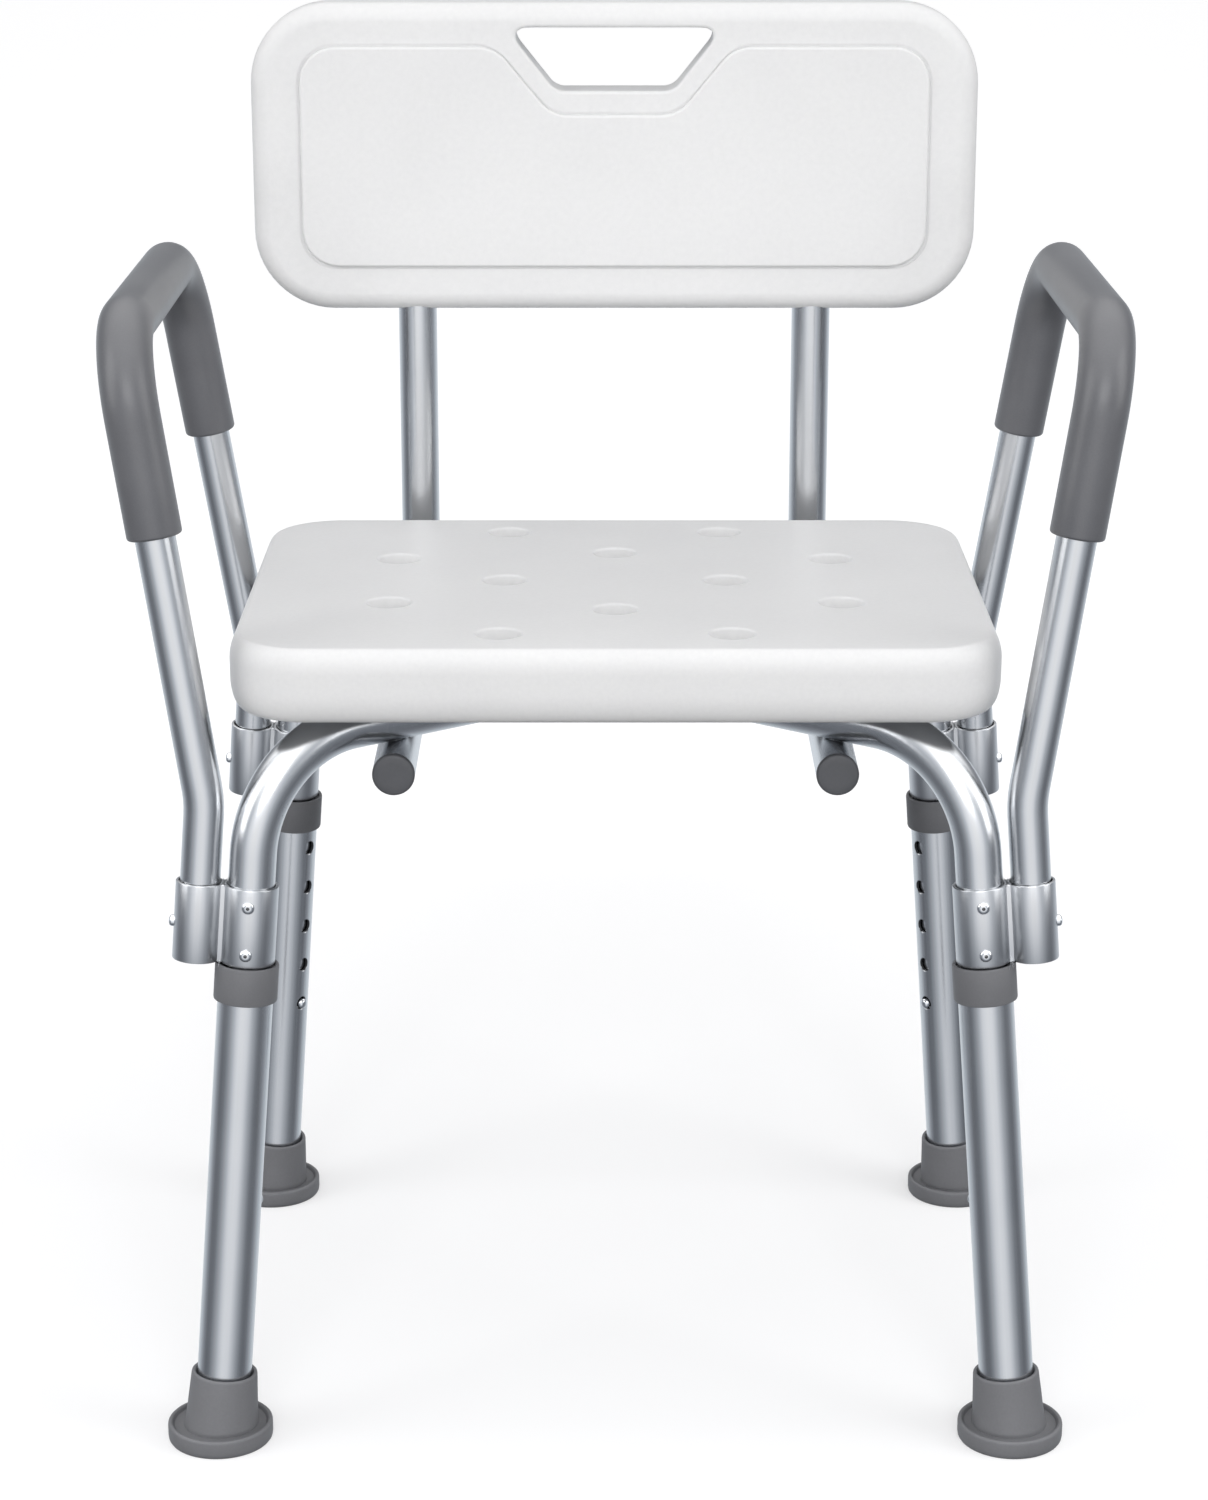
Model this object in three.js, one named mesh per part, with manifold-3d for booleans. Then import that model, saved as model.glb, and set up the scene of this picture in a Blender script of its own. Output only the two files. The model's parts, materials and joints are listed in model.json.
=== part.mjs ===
// A shower chair: a moulded seat and backrest on an aluminium frame of crossed tubes,
// with legs that adjust by snap buttons and two padded arms in double-barrel brackets.
// Units are millimetres, +Z is up, +X is the sitter's left and -Y is the open front.

import * as THREE from "three";
import { mergeVertices } from "three/addons/utils/BufferGeometryUtils.js";
import Module from "manifold-3d";

const wasm = await Module();
wasm.setup();

// ---- Driving dimensions -------------------------------------------------------------

const CLEARANCE = 0.3; // between pieces that touch
const TUBE_SIDES = 12;
const ROUND_SIDES = 16;
const BEND_STEP = THREE.MathUtils.degToRad(18);
const CENTRE_SHIFT_Y = -8.62; // moves the chair so that its box is centred on the origin

const FOOT_X = 211; // from the centre to each foot
const FOOT_Y = 161;
const LEG_SPLAY = THREE.MathUtils.degToRad(5.5);
const LEG_RADIUS = 14.4;
const LEG_BORE = 12.7;
const LEG_BOTTOM = 9; // these four are lengths along the leg, from the floor
const LEG_TOP = 256;
const LEG_FIRST_HOLE = 132.6;
const FRAME_TUBE_BOTTOM = 114.5;
const HOLE_PITCH = 25.4;
const HOLE_COUNT = 5;
const LEG_HOLE_RADIUS = 3.7;

const FRAME_RADIUS = 12.1;
const FRAME_BORE = 10.6;
const FRAME_RUN_Z = 379.7;
const FRAME_BEND_RADIUS = 63;

const BACK_RADIUS = 11.1;
const BACK_BORE = 9.5;
const BACK_X = 115;
const BACK_RUN_Z = 357.4;
const BACK_FRONT_Y = -117.5;
const BACK_UPRIGHT_Y = 190;
const BACK_BEND_RADIUS = 42;
const BACK_TOP_Z = 703.5;

const ARM_RADIUS = 10.4;
const ARM_BORE = 9.0;
const ARM_OFFSET = 26.5; // from the leg's axis to the arm's, out to the side
const ARM_BEND_Z = 348;
const ARM_RAIL_X = 248;
const ARM_RAIL_Y = 126;
const ARM_RAIL_Z = 588;
const ARM_LOW_BEND_RADIUS = 65;
const ARM_CORNER_RADIUS = 45;
const GRIP_RADIUS = 14.2;
const GRIP_END_Z = 486;

const BRACKET_BOTTOM = 265.8; // along the leg
const BRACKET_LENGTH = 41.5;
const RIVET_HEIGHTS = [7, 32.5]; // above the bracket's bottom edge
const ARM_BUTTON_HEIGHT = 19;

const SEAT_WIDTH = 398;
const SEAT_DEPTH = 298;
const SEAT_BOTTOM = 392.5;
const SEAT_TOP = 431.5;
const SEAT_CORNER_RADIUS = 42;
const SEAT_EDGE_RADIUS = 7;
const SHELL_WALL = 3; // of both mouldings
const DRAIN_RADIUS = 10.2;
const DRAIN_HOLES = [
  [-60, -113], [60, -113], [-60, 0], [60, 0], [-60, 113], [60, 113],
  [0, -63], [0, 63], [-120, -49], [120, -49], [-120, 49], [120, 49],
];

const BACKREST_WIDTH = 417;
const BACKREST_BOTTOM = 549;
const BACKREST_TOP = 724.5;
const BACKREST_THICKNESS = 32;
const BACKREST_CORNER_RADIUS = 46;
const BACKREST_EDGE_RADIUS = 10.5;
const PANEL_RISE = 2.2;

const BOLT_RADIUS = 3;
const BOLT_HOLE_RADIUS = 3.5;
const BOLT_HEAD_HEIGHT = 4;
const BOLT_TOP_Z = 412.5;
const SCREW_HEIGHTS = [604, 672];

// ---- Materials ----------------------------------------------------------------------

const FINISHES = {
  white_plastic: { color: 0xdcdde1, roughness: 0.45, metalness: 0 },
  aluminium: { color: 0xb9bcc4, roughness: 0.32, metalness: 1 },
  rubber: { color: 0x6c6d72, roughness: 0.8, metalness: 0 },
  grip: { color: 0x77787d, roughness: 0.6, metalness: 0 },
  cap: { color: 0x5d5e63, roughness: 0.5, metalness: 0 },
  steel: { color: 0xc4c6ca, roughness: 0.25, metalness: 1 },
};

function part(name, geometry, finish) {
  const mesh = new THREE.Mesh(geometry, new THREE.MeshStandardMaterial(FINISHES[finish]));
  mesh.name = name;
  return mesh;
}

// ---- Solids -------------------------------------------------------------------------

function toSolid(geometry) {
  const bare = geometry.clone();
  bare.deleteAttribute("normal");
  bare.deleteAttribute("uv");
  const merged = mergeVertices(bare, 1e-4);
  return new wasm.Manifold(new wasm.Mesh({
    numProp: 3,
    vertProperties: merged.attributes.position.array,
    triVerts: new Uint32Array(merged.index.array),
  }));
}

function toGeometry(solid) {
  const mesh = solid.getMesh();
  const geometry = new THREE.BufferGeometry();
  geometry.setAttribute("position", new THREE.BufferAttribute(mesh.vertProperties, 3));
  geometry.setIndex(new THREE.BufferAttribute(mesh.triVerts, 1));
  geometry.computeVertexNormals();
  return geometry;
}

// The solid less every tool, each tool a geometry in the solid's own frame.
function cut(geometry, tools) {
  return toGeometry(tools.reduce((solid, tool) => solid.subtract(toSolid(tool)), toSolid(geometry)));
}

// A cylinder from one point towards a direction, used for pins and for the holes they need.
function rod(start, direction, length, radius, sides = 10) {
  const geometry = new THREE.CylinderGeometry(radius, radius, length, sides);
  geometry.translate(0, length / 2, 0);
  const along = direction.clone().normalize();
  const turn = new THREE.Quaternion().setFromUnitVectors(new THREE.Vector3(0, 1, 0), along);
  return geometry.applyQuaternion(turn).translate(start.x, start.y, start.z);
}

// A profile of [radius, height] pairs turned about Z.
function turned(profile, sides = ROUND_SIDES) {
  const points = profile.map(([radius, height]) => new THREE.Vector2(radius, height));
  return new THREE.LatheGeometry(points, sides).rotateX(Math.PI / 2);
}

// A slab lying on the XY plane, its outline rounded in plan and all its edges rounded.
function roundedSlab(width, depth, height, cornerRadius, edgeRadius) {
  const x = width / 2 - cornerRadius;
  const y = depth / 2 - cornerRadius;
  const radius = cornerRadius - edgeRadius;
  const outline = new THREE.Shape();
  outline.absarc(x, y, radius, 0, Math.PI / 2);
  outline.absarc(-x, y, radius, Math.PI / 2, Math.PI);
  outline.absarc(-x, -y, radius, Math.PI, 1.5 * Math.PI);
  outline.absarc(x, -y, radius, 1.5 * Math.PI, 2 * Math.PI);
  const slab = new THREE.ExtrudeGeometry(outline, {
    depth: height - 2 * edgeRadius,
    bevelThickness: edgeRadius,
    bevelSize: edgeRadius,
    bevelSegments: 3,
    curveSegments: 2,
  });
  return slab.translate(0, 0, edgeRadius);
}

// ---- Bent tubes ---------------------------------------------------------------------

// A route whose stations stand where they are needed: few on the straights, many in the bends.
class StationRoute extends THREE.Curve {
  constructor(stations) {
    super();
    this.stations = stations;
  }

  getPoint(t) {
    const place = t * (this.stations.length - 1);
    const index = Math.min(Math.floor(place), this.stations.length - 2);
    const from = this.stations[index].point;
    return from.clone().lerp(this.stations[index + 1].point, place - index);
  }

  getTangent(t) {
    return this.stations[Math.round(t * (this.stations.length - 1))].tangent.clone();
  }

  getUtoTmapping(u) {
    return u;
  }
}

// Straight runs between corners, each corner rounded to its radius. A corner of radius 0 is
// only a station on a straight.
function bentRoute(corners) {
  const stations = [];
  corners.forEach(({ point, radius = 0 }, index) => {
    const before = corners[index - 1]?.point;
    const after = corners[index + 1]?.point;
    const arriving = before ? point.clone().sub(before).normalize() : null;
    const leaving = after ? after.clone().sub(point).normalize() : arriving;
    if (!arriving || !after || radius === 0) {
      stations.push({ point: point.clone(), tangent: (arriving ?? leaving).clone() });
      return;
    }
    const turn = arriving.angleTo(leaving);
    const axis = arriving.clone().cross(leaving).normalize();
    const start = point.clone().addScaledVector(arriving, -radius * Math.tan(turn / 2));
    const centre = start.clone().addScaledVector(axis.clone().cross(arriving), radius);
    const steps = Math.max(1, Math.ceil(turn / BEND_STEP));
    for (let step = 0; step <= steps; step += 1) {
      const angle = (turn * step) / steps;
      const spoke = start.clone().sub(centre).applyAxisAngle(axis, angle);
      stations.push({
        point: centre.clone().add(spoke),
        tangent: arriving.clone().applyAxisAngle(axis, angle),
      });
    }
  });
  return new StationRoute(stations);
}

function tube(route, radius, bore) {
  const section = new THREE.Shape().absarc(0, 0, radius, 0, 2 * Math.PI);
  section.holes.push(new THREE.Path().absarc(0, 0, bore, 0, 2 * Math.PI));
  return new THREE.ExtrudeGeometry(section, {
    extrudePath: route,
    steps: route.stations.length - 1,
    curveSegments: TUBE_SIDES / 2, // an arc is drawn with twice this many sides
  });
}

// ---- The leg's line -----------------------------------------------------------------

const FOOT_REACH = Math.hypot(FOOT_X, FOOT_Y);
const DIAGONAL_ANGLE = Math.atan2(FOOT_Y, FOOT_X);
const CORNERS = [
  { name: "front_left", sideX: 1, sideY: -1 },
  { name: "front_right", sideX: -1, sideY: -1 },
  { name: "rear_left", sideX: 1, sideY: 1 },
  { name: "rear_right", sideX: -1, sideY: 1 },
];

// A point on the line of a leg, at a length along it from the floor.
function legPoint({ sideX, sideY }, length) {
  const reach = FOOT_REACH - length * Math.sin(LEG_SPLAY);
  return new THREE.Vector3(
    sideX * reach * Math.cos(DIAGONAL_ANGLE),
    sideY * reach * Math.sin(DIAGONAL_ANGLE),
    length * Math.cos(LEG_SPLAY),
  );
}

function legDirection(corner) {
  return legPoint(corner, 1).sub(legPoint(corner, 0)).normalize();
}

// Out to the chair's side and square to the leg, the way from the leg's axis to the arm's.
function sideDirection(corner) {
  const along = legDirection(corner);
  const side = new THREE.Vector3(corner.sideX, 0, 0);
  return side.addScaledVector(along, -side.dot(along)).normalize();
}

// Square to the leg and to the side direction, out to the front or the back of the chair.
function endDirection(corner) {
  const across = legDirection(corner).cross(sideDirection(corner));
  return across.multiplyScalar(corner.sideX * corner.sideY);
}

// Square to the leg, in its diagonal plane, towards the middle of the chair.
function inwardDirection({ sideX, sideY }) {
  return new THREE.Vector3(
    -sideX * Math.cos(DIAGONAL_ANGLE) * Math.cos(LEG_SPLAY),
    -sideY * Math.sin(DIAGONAL_ANGLE) * Math.cos(LEG_SPLAY),
    -Math.sin(LEG_SPLAY),
  );
}

// A group whose Z runs up the leg and whose X points away from the chair's middle.
function legGroup(corner) {
  const group = new THREE.Group();
  const outward = inwardDirection(corner).negate();
  const along = legDirection(corner);
  const basis = new THREE.Matrix4().makeBasis(outward, along.clone().cross(outward), along);
  group.setRotationFromMatrix(basis);
  group.position.copy(legPoint(corner, 0));
  return group;
}

// ---- Legs ---------------------------------------------------------------------------

function legTube() {
  const section = new THREE.Shape().absarc(0, 0, LEG_RADIUS, 0, 2 * Math.PI);
  section.holes.push(new THREE.Path().absarc(0, 0, LEG_BORE, 0, 2 * Math.PI));
  const shell = new THREE.ExtrudeGeometry(section, {
    depth: LEG_TOP - LEG_BOTTOM,
    bevelEnabled: false,
    curveSegments: ROUND_SIDES / 2,
  }).translate(0, 0, LEG_BOTTOM);
  const holes = [];
  for (let index = 0; index < HOLE_COUNT; index += 1) {
    const start = new THREE.Vector3(0, 0, LEG_FIRST_HOLE + index * HOLE_PITCH);
    holes.push(rod(start, new THREE.Vector3(-1, 0, 0), 2 * LEG_RADIUS, LEG_HOLE_RADIUS, 8));
  }
  return cut(shell, holes);
}

// A plastic bush over the mouth of the leg, with a lip that closes on the frame tube.
function legCollar() {
  const overLeg = (LEG_RADIUS + CLEARANCE) / Math.cos(Math.PI / ROUND_SIDES);
  const overFrame = (FRAME_RADIUS + CLEARANCE) / Math.cos(Math.PI / ROUND_SIDES);
  const outside = 16.6;
  const bottom = LEG_TOP - 10.5;
  const lip = LEG_TOP + CLEARANCE;
  const top = BRACKET_BOTTOM - 0.5;
  return turned([
    [overLeg, bottom], [outside - 0.6, bottom], [outside, bottom + 0.8], [outside, top - 1],
    [outside - 1, top], [overFrame, top], [overFrame, lip], [overLeg, lip], [overLeg, bottom],
  ]);
}

// A rubber tip: a boot up the leg and a broad base cut level with the floor.
function foot() {
  const socket = (LEG_RADIUS + CLEARANCE) / Math.cos(Math.PI / ROUND_SIDES);
  const lean = new THREE.Matrix4().makeRotationY(-LEG_SPLAY);
  const boot = turned([[0, -4], [20, -4], [20, 12], [18.4, 20], [17.6, 36.5], [16.8, 38], [0, 38]]);
  const base = turned([[0, 0], [26.5, 0], [28, 1.5], [28, 8], [26.5, 9.8], [0, 10.2]]);
  const below = new THREE.BoxGeometry(80, 80, 20).translate(0, 0, -10);
  const bore = rod(new THREE.Vector3(0, 0, LEG_BOTTOM - CLEARANCE), new THREE.Vector3(0, 0, 1), 40,
    socket, ROUND_SIDES);
  const joined = toSolid(boot.applyMatrix4(lean)).add(toSolid(base));
  return cut(toGeometry(joined), [below, bore.applyMatrix4(lean)]);
}

// A snap button: a domed pin on the end of a folded leaf spring. The pin points along -X, its
// tip stands out past the outer tube, and the spring bears on the far wall of the inner one.
function snapButton(outerRadius, innerBore, pinRadius) {
  const stand = outerRadius + 2.6;
  const seatX = innerBore * Math.cos(Math.PI / TUBE_SIDES) - CLEARANCE - 0.6;
  const leaf = 0.8;
  const pin = turned([
    [0, seatX - 1], [pinRadius, seatX - 1], [pinRadius, stand - 1.6],
    [pinRadius * 0.72, stand - 0.4], [0, stand],
  ], 10).rotateY(-Math.PI / 2);
  const spring = new THREE.Shape([
    [-seatX, -6], [-seatX, 8], [-seatX + leaf, 8], [-seatX + leaf, -6], [0, -24],
    [seatX - leaf, -6], [seatX - leaf, 4], [seatX, 4], [seatX, -6], [leaf, -26], [-leaf, -26],
  ].map(([x, y]) => new THREE.Vector2(x, y)));
  const width = 6;
  const strip = new THREE.ExtrudeGeometry(spring, { depth: width, bevelEnabled: false });
  strip.translate(0, 0, -width / 2).rotateX(Math.PI / 2);
  return toGeometry(toSolid(strip).add(toSolid(pin)));
}

function addLegs(chair) {
  for (const corner of CORNERS) {
    const group = legGroup(corner);
    const button = part(`leg_button_${corner.name}`, snapButton(LEG_RADIUS, FRAME_BORE, 3), "steel");
    button.position.z = LEG_FIRST_HOLE;
    group.add(part(`leg_tube_${corner.name}`, legTube(), "aluminium"));
    group.add(part(`leg_collar_${corner.name}`, legCollar(), "rubber"));
    group.add(button);
    chair.add(group);
    const tip = part(`foot_${corner.name}`, foot(), "rubber");
    tip.position.copy(legPoint(corner, 0));
    tip.rotation.z = Math.atan2(corner.sideY * FOOT_Y, corner.sideX * FOOT_X);
    chair.add(tip);
  }
}

// ---- Crossed frame tubes ------------------------------------------------------------

const CROSS_FLAT = 21; // half the length that is pressed flat where the two tubes cross
const CROSS_RAMP = 40; // where the tube is round again

// An inverted U over one diagonal, in a frame whose X runs along that diagonal. Where the two
// tubes cross, each is pressed to half its height, one above the other.
function frameTube(keepsTop, rivetTools) {
  const low = FOOT_REACH - FRAME_TUBE_BOTTOM * Math.sin(LEG_SPLAY);
  const lowZ = FRAME_TUBE_BOTTOM * Math.cos(LEG_SPLAY);
  const cornerX = FOOT_REACH - FRAME_RUN_Z * Math.tan(LEG_SPLAY);
  const at = (x, z) => new THREE.Vector3(x, 0, z);
  const geometry = tube(bentRoute([
    { point: at(-low, lowZ) },
    { point: at(-cornerX, FRAME_RUN_Z), radius: FRAME_BEND_RADIUS },
    { point: at(-CROSS_RAMP, FRAME_RUN_Z) },
    { point: at(-CROSS_FLAT, FRAME_RUN_Z) },
    { point: at(CROSS_FLAT, FRAME_RUN_Z) },
    { point: at(CROSS_RAMP, FRAME_RUN_Z) },
    { point: at(cornerX, FRAME_RUN_Z), radius: FRAME_BEND_RADIUS },
    { point: at(low, lowZ) },
  ]), FRAME_RADIUS, FRAME_BORE);
  pressFlat(geometry, keepsTop);

  const up = new THREE.Vector3(0, 0, 1);
  const crossingX = BACK_X / Math.cos(DIAGONAL_ANGLE);
  const tools = [-crossingX, 0, crossingX].map((x) => (
    rod(at(x, FRAME_RUN_Z - 2 * FRAME_RADIUS), up, 4 * FRAME_RADIUS, BOLT_HOLE_RADIUS)
  ));
  for (const side of [-1, 1]) {
    const reach = FOOT_REACH - LEG_FIRST_HOLE * Math.sin(LEG_SPLAY);
    const start = at(side * reach, LEG_FIRST_HOLE * Math.cos(LEG_SPLAY));
    const inward = at(-side * Math.cos(LEG_SPLAY), -Math.sin(LEG_SPLAY));
    tools.push(rod(start, inward, 2 * FRAME_RADIUS, LEG_HOLE_RADIUS, 8));
  }
  return cut(geometry, [...tools, ...rivetTools]);
}

function pressFlat(geometry, keepsTop) {
  const wall = FRAME_RADIUS - FRAME_BORE;
  const positions = geometry.attributes.position;
  for (let index = 0; index < positions.count; index += 1) {
    const height = positions.getZ(index) - FRAME_RUN_Z;
    if (Math.abs(positions.getX(index)) > CROSS_FLAT + 1) continue;
    const isOuter = Math.hypot(positions.getY(index), height) > FRAME_RADIUS - wall / 2;
    const limit = CLEARANCE + (isOuter ? 0 : wall);
    const pressed = keepsTop ? Math.max(height, limit) : Math.min(height, -limit);
    positions.setZ(index, FRAME_RUN_Z + pressed);
  }
}

// Where a bracket's rivets enter, with the way each one points, out of the metal.
function rivetPlaces(corner) {
  return RIVET_HEIGHTS.map((height) => ({
    point: legPoint(corner, BRACKET_BOTTOM + height),
    outward: endDirection(corner),
  }));
}

function addFrameTubes(chair) {
  const diagonals = [
    { name: "frame_tube_upper", turn: DIAGONAL_ANGLE, keepsTop: true, corners: [CORNERS[1], CORNERS[2]] },
    { name: "frame_tube_lower", turn: -DIAGONAL_ANGLE, keepsTop: false, corners: [CORNERS[0], CORNERS[3]] },
  ];
  for (const { name, turn, keepsTop, corners } of diagonals) {
    const rivetTools = corners.flatMap(rivetPlaces).map(({ point, outward }) => (
      rod(point, outward, 2 * FRAME_RADIUS, RIVET_HOLE_RADIUS, 8).rotateZ(-turn)
    ));
    const mesh = part(name, frameTube(keepsTop, rivetTools), "aluminium");
    mesh.rotation.z = turn;
    chair.add(mesh);
  }
}

// ---- Brackets -----------------------------------------------------------------------

const RIVET_RADIUS = 2.2;
const RIVET_HOLE_RADIUS = 2.7;
const FRAME_BARREL_RADIUS = 14.2;
const ARM_BARREL_RADIUS = 12.5;

// Two barrels side by side with a web between them, cut from one extrusion.
function bracket(tools) {
  const boreScale = 1 / Math.cos(Math.PI / ROUND_SIDES);
  const halfWeb = 6;
  const frameTurn = Math.asin(halfWeb / FRAME_BARREL_RADIUS);
  const armTurn = Math.asin(halfWeb / ARM_BARREL_RADIUS);
  const section = new THREE.Shape();
  section.absarc(0, 0, FRAME_BARREL_RADIUS, frameTurn, 2 * Math.PI - frameTurn);
  section.absarc(ARM_OFFSET, 0, ARM_BARREL_RADIUS, armTurn - Math.PI, Math.PI - armTurn);
  const frameBore = (FRAME_RADIUS + CLEARANCE) * boreScale;
  const armBore = (ARM_RADIUS + CLEARANCE) * boreScale;
  section.holes.push(new THREE.Path().absarc(0, 0, frameBore, 0, 2 * Math.PI));
  section.holes.push(new THREE.Path().absarc(ARM_OFFSET, 0, armBore, 0, 2 * Math.PI));
  const body = new THREE.ExtrudeGeometry(section, {
    depth: BRACKET_LENGTH,
    bevelEnabled: false,
    curveSegments: ROUND_SIDES / 2,
  });
  return cut(body, tools);
}

// A domed blind rivet, its head on +Z and its shank through the barrel and the tube.
function rivet() {
  const face = FRAME_BARREL_RADIUS + CLEARANCE;
  return turned([
    [0, FRAME_BORE - 2], [RIVET_RADIUS, FRAME_BORE - 2], [RIVET_RADIUS, face], [3.7, face],
    [3.4, face + 0.9], [2, face + 1.7], [0, face + 1.9],
  ], 10);
}

function addBrackets(chair) {
  for (const corner of CORNERS) {
    const group = new THREE.Group();
    const side = sideDirection(corner);
    const along = legDirection(corner);
    const basis = new THREE.Matrix4().makeBasis(side, along.clone().cross(side), along);
    group.setRotationFromMatrix(basis);
    group.position.copy(legPoint(corner, BRACKET_BOTTOM));
    const out = corner.sideX * corner.sideY; // out of the chair, along the bracket's own Y
    const tools = RIVET_HEIGHTS.map((height) => (
      rod(new THREE.Vector3(0, 0, height), new THREE.Vector3(0, out, 0), 30, RIVET_HOLE_RADIUS, 8)
    ));
    const buttonStart = new THREE.Vector3(ARM_OFFSET, 0, ARM_BUTTON_HEIGHT);
    tools.push(rod(buttonStart, new THREE.Vector3(1, 0, 0), 30, LEG_HOLE_RADIUS, 8));
    group.add(part(`arm_bracket_${corner.name}`, bracket(tools), "aluminium"));
    RIVET_HEIGHTS.forEach((height, index) => {
      const place = index === 0 ? "lower" : "upper";
      const mesh = part(`bracket_rivet_${place}_${corner.name}`, rivet(), "aluminium");
      mesh.position.z = height;
      mesh.rotation.x = -out * Math.PI / 2;
      group.add(mesh);
    });
    const button = part(
      `arm_button_${corner.name}`, snapButton(ARM_BARREL_RADIUS, ARM_BORE, 3), "steel");
    button.position.set(ARM_OFFSET, 0, ARM_BUTTON_HEIGHT);
    button.rotation.y = Math.PI; // turned over, so the leaf reaches up into the tube
    group.add(button);
    chair.add(group);
  }
}

// ---- Arms ---------------------------------------------------------------------------

// The arm's own points, from the foot of its front stem to the foot of its rear stem.
function armCorners(side) {
  const front = CORNERS.find(({ sideX, sideY }) => sideX === side && sideY < 0);
  const rear = CORNERS.find(({ sideX, sideY }) => sideX === side && sideY > 0);
  const inSleeve = (corner, length) => (
    legPoint(corner, length).addScaledVector(sideDirection(corner), ARM_OFFSET)
  );
  const bendLength = ARM_BEND_Z / Math.cos(LEG_SPLAY);
  return {
    foot: [inSleeve(front, BRACKET_BOTTOM + 1), inSleeve(rear, BRACKET_BOTTOM + 1)],
    bend: [inSleeve(front, bendLength), inSleeve(rear, bendLength)],
    top: [-1, 1].map((sideY) => (
      new THREE.Vector3(side * ARM_RAIL_X, sideY * ARM_RAIL_Y, ARM_RAIL_Z)
    )),
  };
}

function armTube(side) {
  const { foot: feet, bend, top } = armCorners(side);
  const geometry = tube(bentRoute([
    { point: feet[0] },
    { point: bend[0], radius: ARM_LOW_BEND_RADIUS },
    { point: top[0], radius: ARM_CORNER_RADIUS },
    { point: top[1], radius: ARM_CORNER_RADIUS },
    { point: bend[1], radius: ARM_LOW_BEND_RADIUS },
    { point: feet[1] },
  ]), ARM_RADIUS, ARM_BORE);
  const tools = CORNERS.filter(({ sideX }) => sideX === side).map((corner) => {
    const height = legPoint(corner, BRACKET_BOTTOM + ARM_BUTTON_HEIGHT);
    const start = height.addScaledVector(sideDirection(corner), ARM_OFFSET);
    return rod(start, sideDirection(corner), 2 * ARM_RADIUS, LEG_HOLE_RADIUS, 8);
  });
  return cut(geometry, tools);
}

// The padded sleeve over the rail and part of both stems.
function armGrip(side) {
  const { bend, top } = armCorners(side);
  const share = (GRIP_END_Z - ARM_BEND_Z) / (ARM_RAIL_Z - ARM_BEND_Z);
  const ends = bend.map((point, index) => point.clone().lerp(top[index], share));
  const bore = (ARM_RADIUS + CLEARANCE) / Math.cos(Math.PI / TUBE_SIDES);
  return tube(bentRoute([
    { point: ends[0] },
    { point: top[0], radius: ARM_CORNER_RADIUS },
    { point: top[1], radius: ARM_CORNER_RADIUS },
    { point: ends[1] },
  ]), GRIP_RADIUS, bore);
}

function addArms(chair) {
  for (const [name, side] of [["left", 1], ["right", -1]]) {
    chair.add(part(`arm_tube_${name}`, armTube(side), "aluminium"));
    chair.add(part(`arm_grip_${name}`, armGrip(side), "grip"));
  }
}

// ---- Back tubes ---------------------------------------------------------------------

const CROSSING_Y = BACK_X * Math.tan(DIAGONAL_ANGLE); // where a back tube passes under a frame tube
const DIMPLE_FLAT = 15.5;
const DIMPLE_RAMP = 20;

// Under the seat from front to back, then up into the backrest. Its top is dimpled where the
// frame tubes cross over it.
function backTube() {
  const run = (y) => ({ point: new THREE.Vector3(0, y, BACK_RUN_Z) });
  const dimple = (y) => [-DIMPLE_RAMP, -DIMPLE_FLAT, DIMPLE_FLAT, DIMPLE_RAMP].map((step) => run(y + step));
  const geometry = tube(bentRoute([
    run(BACK_FRONT_Y),
    ...dimple(-CROSSING_Y),
    ...dimple(CROSSING_Y),
    { point: new THREE.Vector3(0, BACK_UPRIGHT_Y, BACK_RUN_Z), radius: BACK_BEND_RADIUS },
    { point: new THREE.Vector3(0, BACK_UPRIGHT_Y, BACK_TOP_Z) },
  ]), BACK_RADIUS, BACK_BORE);
  dimpleTop(geometry);
  const up = new THREE.Vector3(0, 0, 1);
  const tools = [-CROSSING_Y, CROSSING_Y].map((y) => (
    rod(new THREE.Vector3(0, y, BACK_RUN_Z - 20), up, 40, BOLT_HOLE_RADIUS)
  ));
  for (const height of SCREW_HEIGHTS) {
    const start = new THREE.Vector3(0, BACK_UPRIGHT_Y, height);
    tools.push(rod(start, new THREE.Vector3(0, 1, 0), 20, SCREW_HOLE_RADIUS, 8));
  }
  return cut(geometry, tools);
}

function dimpleTop(geometry) {
  const ceiling = FRAME_RUN_Z - FRAME_RADIUS - CLEARANCE;
  const wall = BACK_RADIUS - BACK_BORE;
  const positions = geometry.attributes.position;
  for (let index = 0; index < positions.count; index += 1) {
    const fromCrossing = Math.abs(Math.abs(positions.getY(index)) - CROSSING_Y);
    if (fromCrossing > DIMPLE_FLAT + 1) continue;
    const height = positions.getZ(index) - BACK_RUN_Z;
    const isOuter = Math.hypot(positions.getX(index), height) > BACK_RADIUS - wall / 2;
    const limit = isOuter ? ceiling : ceiling - wall;
    positions.setZ(index, Math.min(positions.getZ(index), limit));
  }
}

// A plug pressed into the open front end of the back tube.
function backTubeCap() {
  const plug = (BACK_BORE - CLEARANCE) * Math.cos(Math.PI / TUBE_SIDES);
  const inset = BACK_FRONT_Y - CLEARANCE;
  return turned([
    [0, -3], [BACK_RADIUS - 1.2, -3], [BACK_RADIUS, -1.8], [BACK_RADIUS, 0], [plug, 0],
    [plug, 4.5], [plug - 1, 6], [0, 6],
  ]).rotateX(-Math.PI / 2).translate(0, inset, BACK_RUN_Z);
}

function addBackTubes(chair) {
  for (const [name, side] of [["left", 1], ["right", -1]]) {
    for (const [node, geometry, finish] of [
      [`back_tube_${name}`, backTube(), "aluminium"],
      [`back_tube_cap_${name}`, backTubeCap(), "cap"],
    ]) {
      const mesh = part(node, geometry, finish);
      mesh.position.x = side * BACK_X;
      chair.add(mesh);
    }
  }
}

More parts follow.
